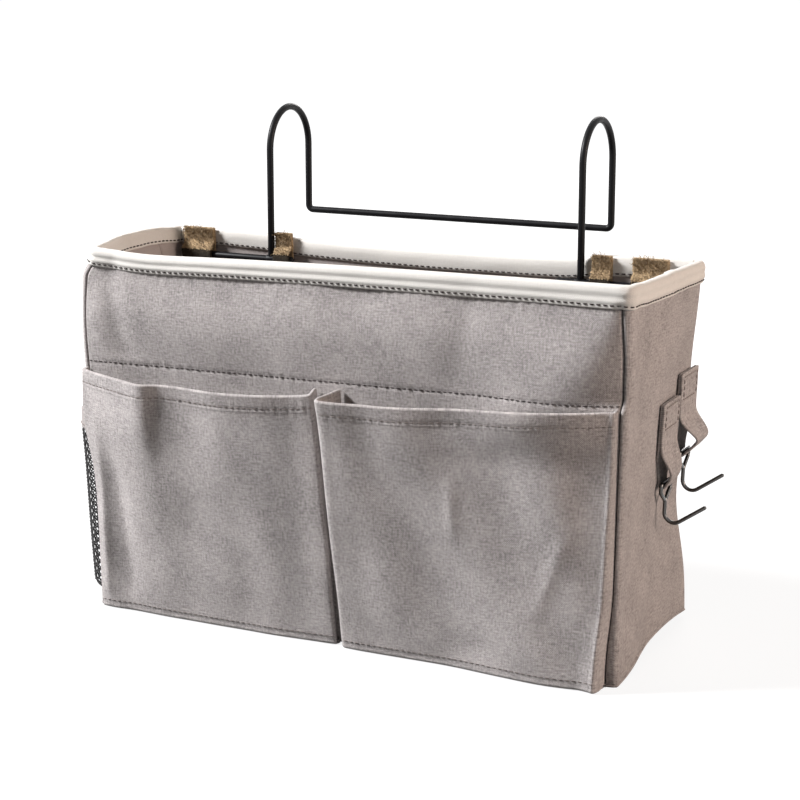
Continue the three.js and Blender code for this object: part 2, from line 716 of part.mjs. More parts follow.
function railHanger() {
  const crestRadius = HANGER_GAP / 2;
  const springing = BODY_HEIGHT + HANGER_CREST_HEIGHT - crestRadius;
  const rear = FOOT_Y + HANGER_GAP;
  const bar = BODY_HEIGHT + HANGER_BAR_HEIGHT;
  const hook = (x) =>
    steps(CREST_STEPS).map((k) => {
      const angle = Math.PI * k;
      const y = FOOT_Y + crestRadius * (1 - Math.cos(angle));
      return new THREE.Vector3(x, y, springing + crestRadius * Math.sin(angle));
    });
  const leftHook = hook(LEFT_LEG);
  const rightHook = hook(RIGHT_LEG).reverse();
  const rearBar = bentPath(
    [
      leftHook.at(-1),
      new THREE.Vector3(LEFT_LEG, rear, bar),
      new THREE.Vector3(RIGHT_LEG, rear, bar),
      rightHook[0],
    ],
    HANGER_BEND_RADIUS,
    BEND_STEPS,
  );
  const onFoot = (x) => new THREE.Vector3(x, FOOT_Y, FOOT_HEIGHT);
  const bent = [
    onFoot(LEFT_LEG),
    ...leftHook.slice(0, -1),
    ...rearBar,
    ...rightHook.slice(1),
    onFoot(RIGHT_LEG),
  ];
  const leftFoot = [onFoot(-FOOT_END), onFoot(LEFT_LEG + HANGER_FOOT_STUB)];
  const rightFoot = [onFoot(RIGHT_LEG - HANGER_FOOT_STUB), onFoot(FOOT_END)];
  return joined(wire(bent, WIRE), wire(leftFoot, WIRE), wire(rightFoot, WIRE));
}

// Hook-and-loop tab, in the frame of the back wall with the hanger's foot at its origin
function hangerTab(width) {
  const inside = WIRE / 2 + TAB_CLEARANCE;
  const outside = inside + TAB;
  const closed = 2 * WIRE;
  const top = HANGER_FOOT_DROP - BINDING_TAPE;
  const outline = new THREE.Shape();
  outline.moveTo(outside, top);
  outline.lineTo(outside - 2 * TAB, top);
  outline.lineTo(outside - 2 * TAB, closed);
  outline.bezierCurveTo(outside - 2 * TAB, closed / 2, -outside, closed / 2, -outside, 0);
  outline.absarc(0, 0, outside, Math.PI, 2 * Math.PI);
  const tunnel = new THREE.Path();
  tunnel.absarc(0, 0, inside, 0, 2 * Math.PI);
  outline.holes.push(tunnel);
  const tab = new THREE.ExtrudeGeometry(outline, {
    depth: width,
    bevelEnabled: false,
    curveSegments: FOLD_STEPS,
  });
  tab.rotateX(Math.PI / 2);
  tab.rotateZ(Math.PI / 2);
  return tab;
}

function addHanger() {
  add("hanger", railHanger(), "wire");
  const lean = Math.atan2(FACE_SPREAD, BODY_HEIGHT);
  const leftStub = LEFT_LEG + WIRE / 2 + LEFT_LEG_TAB_GAP;
  const rightFoot = RIGHT_LEG + WIRE / 2 + RIGHT_LEG_TAB_GAP;
  const rightCorner = FOOT_END - RIGHT_TAB_END_INSET - CORNER_TAB_WIDTH;
  const places = [
    ["hanger_tab_left_corner", LEFT_TAB_END_INSET - FOOT_END, CORNER_TAB_WIDTH],
    ["hanger_tab_left_leg", leftStub, LEFT_LEG_TAB_WIDTH],
    ["hanger_tab_right_leg", rightFoot, RIGHT_LEG_TAB_WIDTH],
    ["hanger_tab_right_corner", rightCorner, CORNER_TAB_WIDTH],
  ];
  for (const [name, start, width] of places) {
    const onWall = new THREE.Group();
    onWall.position.set(start, FOOT_Y, FOOT_HEIGHT);
    onWall.rotation.x = lean;
    caddy.add(onWall);
    add(name, hangerTab(width), "tab", onWall);
  }
}

addBody();
add("rim_binding", rimBinding(), "binding");
const leftPocket = frontPocket(-1, LEFT_POCKET_PLAN, LEFT_POCKET_MOUTH_END, LEFT_POCKET_SAG);
add("left_pocket", leftPocket, "canvas");
const rightPocket = frontPocket(1, RIGHT_POCKET_PLAN, RIGHT_POCKET_MOUTH_END, RIGHT_POCKET_SAG);
add("right_pocket", rightPocket, "canvas");
add("mesh_pocket", meshNet(), "mesh");
add("mesh_pocket_band", meshBand(), "canvas");
addHookStrap("front", STRAP_FRONT_Y, STRAP_TOP_HEIGHT);
addHookStrap("rear", STRAP_FRONT_Y + STRAP_SPACING, STRAP_TOP_HEIGHT + STRAP_STAGGER);
addHanger();

export default caddy;
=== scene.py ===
import json
import math

import bpy
import numpy as np
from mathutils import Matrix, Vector


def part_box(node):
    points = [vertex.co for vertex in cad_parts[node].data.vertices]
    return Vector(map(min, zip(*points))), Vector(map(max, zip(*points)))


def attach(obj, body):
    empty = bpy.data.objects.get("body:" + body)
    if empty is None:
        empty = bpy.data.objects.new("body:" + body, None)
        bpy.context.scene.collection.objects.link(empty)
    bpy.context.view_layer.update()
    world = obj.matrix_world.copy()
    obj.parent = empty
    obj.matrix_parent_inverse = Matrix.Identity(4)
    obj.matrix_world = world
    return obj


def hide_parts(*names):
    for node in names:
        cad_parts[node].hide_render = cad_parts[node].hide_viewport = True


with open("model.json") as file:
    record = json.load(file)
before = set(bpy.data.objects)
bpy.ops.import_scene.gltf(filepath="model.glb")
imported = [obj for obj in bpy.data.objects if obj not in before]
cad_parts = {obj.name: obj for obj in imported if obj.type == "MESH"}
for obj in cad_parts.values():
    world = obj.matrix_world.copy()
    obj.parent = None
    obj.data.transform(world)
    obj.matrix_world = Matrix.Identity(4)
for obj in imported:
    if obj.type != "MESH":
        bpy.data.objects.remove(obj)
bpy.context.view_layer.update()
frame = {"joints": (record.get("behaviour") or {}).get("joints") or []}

# Sizes are in millimetres, and the body's come from the frame


def box_mm(node):
    low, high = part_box(node)
    return np.array(low) * 1000, np.array(high) * 1000


base_high = box_mm("base_panel")[1]
side_low, side_high = box_mm("right_panel")
rim_low, rim_high = box_mm("rim_binding")
pocket_low, pocket_high = box_mm("right_pocket")
net_low, net_high = box_mm("mesh_pocket")
band_low, band_high = box_mm("mesh_pocket_band")
hanger_low, hanger_high = box_mm("hanger")
joint_at = {joint["name"]: np.array(joint["pos_m"]) * 1000 for joint in frame["joints"]}

HEIGHT = rim_high[2]
WALL_BOTTOM = side_low[2]
WALL_TOP = side_high[2]
BINDING_OUT = 1.3
END_SLOPE = (side_high[0] - base_high[0]) / WALL_TOP
FACE_SLOPE = (base_high[1] - rim_high[1] + BINDING_OUT) / (rim_low[2] - base_high[2])
CORNER_RADIUS_BASE = 2.6
CORNER_RADIUS_RIM = 5.0

# Cloth thicknesses, and how deep each wall layer's outside lies below the canvas face
CANVAS = 1.2
LINING = 0.7
BOARD = 1.5
TAPE = 1.0
BOARD_DEPTH = 1.5
FACE_LINING_DEPTH = 3.3
SIDE_LINING_DEPTH = 1.6

# Seams: both cloths turn in round a small radius and run inwards side by side
SEAM_TURN = 1.3
SEAM_DEPTH = 3.1
SEAM_GAP = 0.3
FACE_SEAM_FADE = (2, 14)
SIDE_SEAM_FADE = (3, 16)

# How the limp cloth settles: how far a part of it moves, and between which heights or shares
NEAR_FACE = (0.5, 0.9)
NEAR_END = (0.6, 0.95)
LEAN = 4.5
FRONT_BULGE = 3.2
FRONT_BULGE_BELOW_MOUTH = 12
FRONT_BULGE_HEIGHT = 171
FRONT_BULGE_TOP = 200
FRONT_ROLL_LEFT = 16
FRONT_ROLL_RIGHT = 36
FRONT_HOLLOW_FADE = 7
CORNER_CREST = 120.0
CORNER_CREST_LEAN = 0.64
CORNER_CREST_RISE = 50.0
CORNER_SEAM_WIDTH = 5
CORNER_HUMP = 0.13
CORNER_HUMP_FADE = 30
CORNER_VALLEY = 0.13
LEFT_RIM_IN_FRONT = 7.0
LEFT_RIM_BOW = 6.0
LEFT_RIM_HEIGHTS = (190, 204)
RIGHT_SEAM_OUT = 2.0
RIGHT_SEAM_ROLL = 28
RIGHT_SEAM_ABOVE_FLOOR = (10, 50)
RIGHT_SEAM_BELOW_RIM = (8, 40)
RIGHT_RIM_OUT_FRONT = 0.8
RIGHT_RIM_OUT_BACK = 4.8
RIGHT_RIM_FRONT_TO_BACK = (-0.6, 0.9)
RIGHT_RIM_HEIGHTS = (140, 205)
RIGHT_FOOT_FLARE = 5.0
RIGHT_FOOT_FLARE_FROM = (-3, 1)
RIGHT_FOOT_FORWARD = 4.0
RIGHT_FOOT_FORWARD_FROM = (-14, 0)
RIGHT_FOOT_HEIGHT = 26
RIGHT_FOOT_DEPTH = 62
RIGHT_FOOT_FADE = 54
BASE_ARCH = 5.5
BASE_ARCH_SPAN = 1.22
BASE_ARCH_LEAN = 1.15
BASE_ARCH_POINT = 1.3
BASE_ARCH_HEIGHT = 16
BASE_ARCH_FROM = 0.72

# Mounds in the cloth: height, centre and size
LEFT_PUFF = (4.3, (-40, 155), (50, 34))
LEFT_BILLOW = (2.6, (-117, 116), (13, 20))
RIGHT_DENT = (7.0, (46, 72), (32, 24))

# Creases in the cloth: rows of height, start, end and width
CREASE_FADE = (-0.3, 0.35)
CREASE_FLANK = 1.6
FRONT_DENTS = [(1.8, (-147, 204), (-130, 142), 7), (1.0, (78, 200), (66, 142), 9)]
RIGHT_FOLDS = [(1.1, (-2, 200), (2, 138), 9)]
LEFT_POCKET_CREASES = [
    (1.0, (-68, 118), (-25, 26), 12), (2.4, (-150, 95), (-147, 6), 4), (-3.0, (-141, 92), (-131, 8), 8),
]
RIGHT_POCKET_CREASES = [(1.2, (73, 101), (75, 74), 4), (1.2, (134, 78), (121, 40), 4.5)]

# How far the rim rises in front and sags at the back: rows of share along it from the left, and height
FRONT_RIM_RISE = [(0.00, 0.4), (0.10, -1.7), (0.25, -1.0), (0.40, 0.0), (0.60, 0.9), (0.80, 1.4), (1.00, 1.5)]
BACK_RIM_DROP = [
    (0.00, 1.4), (0.13, 1.8), (0.20, 2.6), (0.24, 3.9), (0.32, 5.0), (0.41, 5.7),
    (0.58, 5.7), (0.745, 5.0), (0.78, 4.6), (0.83, 2.0), (0.90, 0.3), (1.00, 0.0),
]

# Front pockets
POCKET_MOUTH = pocket_high[2]
POCKET_BOTTOM = pocket_low[2]
POCKET_FOOT_TURN = 2.2
POCKET_END_BILLOW = 4.0
END_BILLOW_AT = (0.8, 0.12)
END_BILLOW_FROM = (120, 150)
FOLDS_ABOVE_FLOOR = (3, 16)
FOLDS_BELOW_MOUTH = (-6, 12)
FOLDS_OFF_PANEL = (0.5, 5)
HEM_HEIGHT = 8.6
HEM_STITCH = 7.0
HEM_LIFT = 0.4
HEM_FOLD = 1.0
HEM_GROOVE = 0.35
HEM_PUCKER = 0.12
HEM_RIPPLE = (1.3, 2, 0.11)
FOOT_STITCH = 3.0
FOOT_GROOVE = 0.2
FOOT_SEAM = 8
POCKET_STITCH = 0.26
LEFT_MOUTH_DROP = 2.7
LEFT_MOUTH_END_DROP = 2.0
LEFT_MOUTH_SAG = 4.6
LEFT_PLEAT_AT = -114
LEFT_PLEAT_WIDTH = 5
LEFT_PLEAT_RIDGE = 1.4
LEFT_PLEAT_STEP = 2.7
LEFT_PLEAT_STEP_AT = (-113, -102)
LEFT_PLEAT_END = -66
LEFT_PLEAT_FADE = 32
LEFT_PLEAT_HEIGHTS = (78, 136)
RIGHT_MOUTH_DROP = 2.2
RIGHT_MOUTH_CLIMB = 3.7
RIGHT_MOUTH_SAG = 1.6
RIGHT_WAVE = 1.2
RIGHT_WAVE_LENGTH = 31
RIGHT_WAVE_START = 105
RIGHT_WAVE_LEAN = 0.53
RIGHT_WAVE_FROM = (8, 34)
RIGHT_WAVE_TO = (-150, -126)

# Pocket plans: rows of share along the cloth, then place and stand-off of the mouth, and of the foot
LEFT_PLAN = [
    (0.00, -157.0, -1.0, -153.8, 0.3), (0.03, -158.6, 1.8, -152.4, 2.2), (0.07, -153.6, 4.6, -147.0, 3.8),
    (0.15, -135.5, 12.6, -131.0, 3.8), (0.235, -117.0, 19.4, -114.0, 5.0), (0.27, -111.0, 20.0, -108.0, 5.4),
    (0.31, -104.0, 19.2, -101.0, 5.6), (0.36, -95.0, 18.4, -92.0, 5.8), (0.45, -80.0, 17.8, -76.0, 6.4),
    (0.56, -60.0, 18.0, -56.0, 6.8), (0.66, -42.0, 16.4, -38.0, 7.4), (0.76, -24.0, 12.4, -14.0, 6.6),
    (0.84, -15.0, 10.9, -3.2, 6.3), (0.90, -11.8, 9.4, -0.3, 5.5), (1.00, -13.2, 0.3, -1.6, 0.3),
]
RIGHT_PLAN = [
    (0.00, -0.6, 0.3, 4.0, 0.3), (0.06, -1.4, 12.0, 4.0, 3.0), (0.12, -2.0, 24.0, 4.2, 6.0),
    (0.145, 0.4, 27.8, 5.6, 8.4), (0.19, 8.6, 28.2, 11.5, 9.6), (0.26, 25.0, 26.2, 24.5, 10.2),
    (0.34, 40.0, 25.2, 39.5, 10.4), (0.50, 74.0, 19.6, 71.0, 11.2), (0.63, 100.0, 15.6, 97.0, 14.4),
    (0.79, 131.0, 10.0, 128.0, 17.0), (0.89, 148.6, 3.4, 146.5, 15.0), (0.925, 153.0, 2.2, 150.8, 14.2),
    (0.945, 155.0, 2.2, 152.9, 14.0), (0.965, 156.2, 1.2, 154.2, 11.4), (1.00, 156.4, -2.2, 154.4, -2.2),
]

# Sewn line above the pockets, and layers inside the body
LINE_ABOVE_MOUTH = 1.6
LINE_CLIMB = 0.012
LINE_GROOVE = 0.35
LINE_PUCKER = 0.3
LINE_RIPPLE = (1.15, 3, 0.09)
RIM_PUCKER_WIDTH = 5
PUCKER_WIDTH = 3.5
LINE_STITCH = 0.3
BOARD_INSET = 3
BOARD_ABOVE_FLOOR = 2
BASE_BOARD_TOP = 3.0
FLOOR_TOP = 4.1
FLOOR_GAP = 0.4
LINING_BOTTOM = 4.4
LINING_TOP = 204
LINING_CUT = 200

# Mesh pocket
NET_HALF = net_high[1]
NET_RISE = 18
NET_END_ROUND = 13
NET_FOOT_ROUND = 6
NET_FOOT_LEAST = 0.16
NET_PITCH = 4.4
NET_STRAND = 0.42
NET_OVER = 0.32
NET_OFF_PANEL = 0.4
NET_SAG = 0.16
NET_SAG_HEIGHT = 62
NET_BELLY = 0.1
NET_BELLY_HEIGHT = 52
NET_SPREAD = 30
NET_GATHER = 0.12
NET_GATHER_HEIGHTS = (94, 112)
BAND = 1.7
BAND_OFF_NET = 0.8
BAND_RIPPLE = 0.3
BAND_BELOW_NODE = 1.5
BAND_GATHER = 1.15
EDGING = 0.8
EDGING_HALF_WIDTH = 5
EDGING_PAST_NET = 3.5
EDGING_CROWN = 0.5

# Hook straps and wire hooks, in the frame of the right panel's face at each hook's eye bar
STRAP = 1.3
STRAP_OFF_PANEL = 0.5
STRAP_SEAM = 16
STRAP_BELLY = {"front": 5.5, "rear": 11.0}
STRAP_HALF_WIDTH = 13.8
STRAP_TIP_HALF_WIDTH = 6.5
STRAP_PINCH = 18
STRAP_TOP = 45
STRAP_BACK_HEIGHTS = (STRAP_TOP, 36, 27, STRAP_PINCH, 10, 3)
STRAP_LAYER = STRAP_OFF_PANEL + STRAP
STRAP_BAR_OUT = 3.3
STRAP_FOLD = 2.9
STRAP_FOLD_ANGLES = np.radians([200, 235, 270, 305, 340])
HOOK_WIRE = 2.2
HOOK_BAR_HALF = 8.1
HOOK_SHOULDER = -4.6
HOOK_APEX = -10.6
HOOK_SHANK = 6.5
HOOK_BEND = 5.5
HOOK_TIP = 17
HOOK_TIP_RISE = math.radians(36)
HOOK_EYE_BENDS = (2.5, 2.2, 1.6, 1.6, 2.2)
HOOK_END_ASIDE = -1.7
HOOK_END_ABOVE = 1.1
HOOK_SHANK_ASIDE = 0.4

# A strap's front, from its fold up: rows of how far out, share of the belly added, and how high
STRAP_FRONT = [
    (STRAP_BAR_OUT + STRAP_FOLD, 0.45, 4.5), (STRAP_BAR_OUT, 0.9, 10),
    (STRAP_LAYER + 1.6, 0.12, STRAP_PINCH + 1), (STRAP_LAYER + 1.3, 0, 24),
    (STRAP_LAYER + 1.25, 0, 36), (STRAP_LAYER + 1.25, 0, STRAP_TOP),
]

# Rail hanger and its tabs
WIRE = 4.0
HANGER_LEFT_LEG = -96
HANGER_RIGHT_LEG = 100
HANGER_BEND = 3
HANGER_BAR = 214.5
HANGER_FOOT_STUB = 13.2
WELD_RADIUS = 2.5
WELD_HALF_LENGTH = 2.0
TAB = 1.2
TAB_TOP = 15.5
TAB_CLOSED = 8
TAB_FOLD = 3.45
TAB_HOOKS = (22.0, 30.0)
NO_HOOKS = (-2.0, -1.0)
TAB_NAP = (-0.12, 0.42)
TAB_FRONT = (0.6, 0.66)
TAB_FACE_ROWS = slice(48, None)
TAB_TOP_ROWS = slice(64, None)
LOOP_RADIUS = 0.11
NAP_LOOP_LENGTH = 1.9
TOP_LOOP_LENGTH = 3.2
NAP_LOOPS_PER_MM = 20
TOP_LOOPS_PER_MM = 7
TOP_LOOP_LIFT = 1.2
LOOP_SPREAD = 0.75
LOOP_BEND = 0.35
LOOP_SHORTEST = 0.35
LOOP_ROOT = 0.15

# Fine wrinkles: their height on each cloth
FRONT_WRINKLE = 0.6
BACK_WRINKLE = 0.7
SIDE_WRINKLE = 0.6
LINING_WRINKLE = 0.35
LEFT_WRINKLE = 0.6
RIGHT_WRINKLE = 0.5
SEED = 7


def half_length(z):
    return base_high[0] + END_SLOPE * z


def half_depth(z):
    return base_high[1] - FACE_SLOPE * (z - base_high[2])


def corner_radius(z):
    return CORNER_RADIUS_BASE + (CORNER_RADIUS_RIM - CORNER_RADIUS_BASE) * z / HEIGHT


# Small shape functions


def lerp(a, b, k):
    return a + (b - a) * k


def smooth(t, low=0.0, high=1.0):
    k = np.clip((t - low) / (high - low), 0, 1)
    return k * k * (3 - 2 * k)


def rolled(t):
    """0 to 1, steepest at 0, as a cloth rolls away from its seam."""
    return np.sin(np.clip(t, 0, 1) * math.pi / 2)


def bell(t, centre, width):
    return np.exp(-0.5 * ((t - centre) / width) ** 2)


def stack(*parts):
    return np.stack(np.broadcast_arrays(*parts), axis=-1).astype(float)


def wrinkles(seed, count, shortest, longest):
    """A smooth random height of about -1 to 1 over two lengths in the cloth."""
    random = np.random.default_rng(seed)
    waves = 2 * math.pi / random.uniform(shortest, longest, count)
    turns, phases = random.uniform(0, 2 * math.pi, (2, count))

    def height(a, b):
        total = 0
        for wave, turn, phase in zip(waves, turns, phases):
            total = total + np.sin(wave * (a * math.cos(turn) + b * math.sin(turn)) + phase)
        return total / math.sqrt(2 * count)

    return height


def crease(a, b, start, end, width):
    """A soft ridge, 0 to 1 high, from start to end, fading out at both ends."""
    line = np.subtract(end, start)
    length = math.hypot(*line)
    t = ((a - start[0]) * line[0] + (b - start[1]) * line[1]) / length**2
    off = ((a - start[0]) * line[1] - (b - start[1]) * line[0]) / length
    fade = smooth(t, *CREASE_FADE) * smooth(1 - t, *CREASE_FADE)
    return np.exp(-np.abs(off / width) ** CREASE_FLANK) * fade


def creases(a, b, rows):
    return sum(height * crease(a, b, start, end, width) for height, start, end, width in rows)


def mound(a, b, height, centre, size):
    return height * bell(a, centre[0], size[0]) * bell(b, centre[1], size[1])


def ripple(x, wave, wander, drift):
    """Puckers along a seam, -1 to 1: a wave whose length wanders."""
    return np.sin(x * wave + wander * np.sin(x * drift))


def read_off(places, along, path):
    """The coordinates of a path at places along it."""
    return [np.interp(places, along, column) for column in path.T]


def spline(points, count):
    """A smooth curve through a few points, at evenly spaced places."""
    knots = np.array(points, float)
    padded = np.vstack([2 * knots[0] - knots[1], knots, 2 * knots[-1] - knots[-2]])
    fine = []
    for i in range(len(knots) - 1):
        a, b, c, d = padded[i : i + 4]
        for t in np.linspace(0, 1, 24, endpoint=False):
            pull = (c - a) * t + (2 * a - 5 * b + 4 * c - d) * t**2 + (3 * b - a - 3 * c + d) * t**3
            fine.append(b + pull / 2)
    fine = np.array(fine + [knots[-1]])
    along = arc_length(fine)
    return np.stack(read_off(np.linspace(0, along[-1], count), along, fine), axis=-1)


def keyed_curve(rows):
    """A smooth curve of lengths against a share, through rows of share and lengths."""
    rows = np.array(rows, float)
    share, lengths = rows[:, 0], rows[:, 1:]
    slopes = np.gradient(lengths, share, axis=0)

    def curve(u):
        i = np.clip(np.searchsorted(share, u, side="right") - 1, 0, len(share) - 2)
        span = share[i + 1] - share[i]
        t = ((np.clip(u, 0, 1) - share[i]) / span)[..., None]
        start, end = lengths[i], lengths[i + 1]
        rise, fall = slopes[i] * span[..., None], slopes[i + 1] * span[..., None]
        blend = start + (end - start) * (3 * t**2 - 2 * t**3)
        return blend + rise * (t**3 - 2 * t**2 + t) + fall * (t**3 - t**2)

    return curve


def arc_length(path):
    return np.concatenate([[0], np.cumsum(np.linalg.norm(np.diff(path, axis=0), axis=1))])


def unit(vectors):
    return vectors / np.maximum(np.linalg.norm(vectors, axis=-1, keepdims=True), 1e-9)


front_rim_rise = keyed_curve(FRONT_RIM_RISE)
back_rim_drop = keyed_curve(BACK_RIM_DROP)


def front_swell(x, z):
    """How far the front stands out above the pockets, with a hump that falls away to its right seam."""
    bottom = POCKET_MOUTH - FRONT_BULGE_BELOW_MOUTH
    rise = np.clip((z - bottom) / (FRONT_BULGE_HEIGHT - bottom), 0, 1)
    fall = np.clip((FRONT_BULGE_TOP - z) / (FRONT_BULGE_TOP - FRONT_BULGE_HEIGHT), 0, 1)
    swell = 0.5 - 0.5 * np.cos(math.pi * np.minimum(rise, fall))
    at_right = rolled((half_length(z) - x) / FRONT_ROLL_RIGHT)
    at_left = rolled((half_length(z) + x) / FRONT_ROLL_LEFT)
    crest = CORNER_CREST + CORNER_CREST_LEAN * (z - POCKET_MOUTH)
    fall_width = half_length(z) - CORNER_SEAM_WIDTH - crest
    past_crest = np.clip((x - crest) / fall_width, 0, 1)
    hump = CORNER_HUMP * fall_width * smooth(x, crest - CORNER_CREST_RISE, crest) * (1 - past_crest**2)
    hump = hump * smooth(z, POCKET_MOUTH - CORNER_HUMP_FADE, POCKET_MOUTH)
    hollow = creases(x, z, FRONT_DENTS) + CORNER_VALLEY * fall_width * past_crest**2
    above_pockets = smooth(z, POCKET_MOUTH, POCKET_MOUTH + FRONT_HOLLOW_FADE)
    return FRONT_BULGE * at_left * at_right * swell + hump - hollow * above_pockets


def slump(points):
    """Moves points of the straight body to where its limp cloth settles."""
    x, y, z = points[..., 0], points[..., 1], points[..., 2]
    along, across = x / half_length(z), y / half_depth(z)
    front, back = smooth(-across, *NEAR_FACE), smooth(across, *NEAR_FACE)
    right, left = smooth(along, *NEAR_END), smooth(-along, *NEAR_END)
    up = np.clip(z / HEIGHT, 0, 1.05)
    from_front = y + half_depth(z)
    depth_share = from_front / (2 * half_depth(z))
    past_end = x - half_length(z)

    length_share = np.clip(along / 2 + 0.5, 0, 1)
    rise = front_rim_rise(length_share)[..., 0] * smooth(z, POCKET_MOUTH + 3, HEIGHT)
    drop = up**2 * back * back_rim_drop(length_share)[..., 0] - front * rise

    dent = mound(y, z, *RIGHT_DENT)
    seam_heights = smooth(z, *RIGHT_SEAM_ABOVE_FLOOR) * smooth(HEIGHT - z, *RIGHT_SEAM_BELOW_RIM)
    push = RIGHT_SEAM_OUT * (1 - rolled(from_front / RIGHT_SEAM_ROLL)) * seam_heights
    to_back = smooth(across, *RIGHT_RIM_FRONT_TO_BACK)
    spread = lerp(RIGHT_RIM_OUT_FRONT, RIGHT_RIM_OUT_BACK, to_back) * smooth(z, *RIGHT_RIM_HEIGHTS)
    outward = creases(y, z, RIGHT_FOLDS) - dent + push + spread

    puff = mound(y, z, *LEFT_PUFF)
    bow = LEFT_RIM_BOW * np.sin(math.pi * np.clip(depth_share, 0, 1))
    narrow = (LEFT_RIM_IN_FRONT * (1 - smooth(across, -1, 0)) - bow) * smooth(z, *LEFT_RIM_HEIGHTS)

    arch_at = np.clip(depth_share / BASE_ARCH_SPAN, 0, 1)
    arch = np.sin(math.pi * arch_at**BASE_ARCH_LEAN) ** BASE_ARCH_POINT
    lift = BASE_ARCH * arch * bell(z, 0, BASE_ARCH_HEIGHT) * smooth(along, BASE_ARCH_FROM, 1)
    at_foot = bell(z, 0, RIGHT_FOOT_HEIGHT) * smooth(RIGHT_FOOT_DEPTH - from_front, 0, RIGHT_FOOT_FADE)
    flare = RIGHT_FOOT_FLARE * at_foot * smooth(past_end, *RIGHT_FOOT_FLARE_FROM)
    forward = RIGHT_FOOT_FORWARD * at_foot * smooth(past_end, *RIGHT_FOOT_FORWARD_FROM)

    moved = points.copy()
    moved[..., 0] += LEAN * (1 - up) + right * outward + left * (narrow - puff) + flare
    moved[..., 1] -= front * (front_swell(x, z) + forward)
    moved[..., 2] += lift - drop
    return moved


# Meshes

EDGE_BEAD = 0.4
WIRE_DOME = np.radians([80, 50, 25])
OFF_ALL_WIRES = (0.31, 0.83, 0.47)

# A stitch: places along it, height above the cloth and girth there, as shares of its length and radius
STITCH_PLACES = np.array([-0.5, -0.36, 0.0, 0.36, 0.5])
STITCH_LIFT = np.array([-0.5, 0.45, 0.75, 0.45, -0.5])
STITCH_GIRTH = np.array([0.55, 0.95, 1.0, 0.95, 0.55])
STITCH_SIDES = 6


def add_mesh(name, points, faces, uv, material):
    mesh = bpy.data.meshes.new(name)
    mesh.from_pydata((points / 1000).tolist(), [], faces)
    corners = np.empty(len(mesh.loops), int)
    mesh.loops.foreach_get("vertex_index", corners)
    layer = mesh.uv_layers.new(name="cloth")
    layer.data.foreach_set("uv", uv[corners].astype(np.float32).ravel())
    mesh.polygons.foreach_set("use_smooth", np.ones(len(mesh.polygons), bool))
    mesh.materials.append(material)
    piece = bpy.data.objects.new(name, mesh)
    bpy.context.scene.collection.objects.link(piece)
    return piece


def grid_quads(rows, columns, start=0, flip=False):
    at = start + np.arange(rows * columns).reshape(rows, columns)
    quads = np.stack([at[:-1, :-1], at[1:, :-1], at[1:, 1:], at[:-1, 1:]], axis=-1).reshape(-1, 4)
    return quads[:, ::-1] if flip else quads


def grid_normals(points):
    return unit(np.cross(np.gradient(points, axis=0), np.gradient(points, axis=1)))


def sheet_mesh(name, outside, thickness, material):
    """A closed cloth from a grid of points on its outside, with rounded edges all round."""
    rows, columns = outside.shape[:2]
    thick = np.broadcast_to(thickness, (rows, columns))[..., None]
    inside = outside - grid_normals(outside) * thick
    middle = (outside + inside) / 2
    u = arc_length(outside[:, columns // 2])
    v = arc_length(outside[rows // 2])
    uv = np.stack(np.meshgrid(u, v, indexing="ij"), axis=-1)

    edge = [(i, 0) for i in range(rows)]
    edge += [(rows - 1, j) for j in range(1, columns)]
    edge += [(i, columns - 1) for i in range(rows - 2, -1, -1)]
    edge += [(0, j) for j in range(columns - 2, 0, -1)]
    edge = np.array(edge)
    inner = np.clip(edge, 1, [rows - 2, columns - 2])
    at_edge = middle[edge[:, 0], edge[:, 1]]
    away = unit(at_edge - middle[inner[:, 0], inner[:, 1]])
    bead = at_edge + away * thick[edge[:, 0], edge[:, 1]] * EDGE_BEAD

    count = rows * columns
    points = np.concatenate([outside.reshape(-1, 3), inside.reshape(-1, 3), bead])
    points[:, 2] = np.maximum(points[:, 2], 0)
    all_uv = np.concatenate([uv.reshape(-1, 2), uv.reshape(-1, 2), uv[edge[:, 0], edge[:, 1]]])
    top = edge[:, 0] * columns + edge[:, 1]
    ring = 2 * count + np.arange(len(edge))
    after = np.roll(np.arange(len(edge)), -1)
    faces = np.concatenate([
        grid_quads(rows, columns),
        grid_quads(rows, columns, count, flip=True),
        np.stack([top, ring, ring[after], top[after]], axis=-1),
        np.stack([ring, top + count, top[after] + count, ring[after]], axis=-1),
    ])
    return add_mesh(name, points, faces.tolist(), all_uv, material)


def sheet_from(name, surface, us, vs, thickness, material):
    return sheet_mesh(name, surface(*np.meshgrid(us, vs, indexing="ij")), thickness, material)


def ring_tube(centres, across, up, widths, lengths, radius, sides, flip=False):
    """Points, faces and lengths of a closed tube of rings, each round a centre in two directions."""
    angles = np.linspace(0, 2 * math.pi, sides, endpoint=False)
    turn = angles[:, None]
    around = across[:, None] * np.cos(turn) + up[:, None] * np.sin(turn)
    points = (centres[:, None] + around * widths[:, None, None]).reshape(-1, 3)
    at = np.arange(len(points)).reshape(-1, sides)
    beside = np.roll(at, -1, axis=1)
    quads = np.stack([at[:-1], beside[:-1], beside[1:], at[1:]], axis=-1).reshape(-1, 4)
    ends = np.stack([at[0, ::-1], at[-1]])
    if flip:
        quads, ends = quads[:, [0, 3, 2, 1]], ends[:, ::-1]
    return points, quads.tolist() + ends.tolist(), stack(lengths[:, None], angles * radius).reshape(-1, 2)


def joined_mesh(name, parts, material):
    """One mesh of several parts, each given as its points, faces and lengths."""
    points, faces, uvs, start = [], [], [], 0
    for part_points, part_faces, part_uv in parts:
        points.append(part_points)
        uvs.append(part_uv)
        faces += [[start + k for k in face] for face in part_faces]
        start += len(part_points)
    return add_mesh(name, np.concatenate(points), faces, np.concatenate(uvs), material)


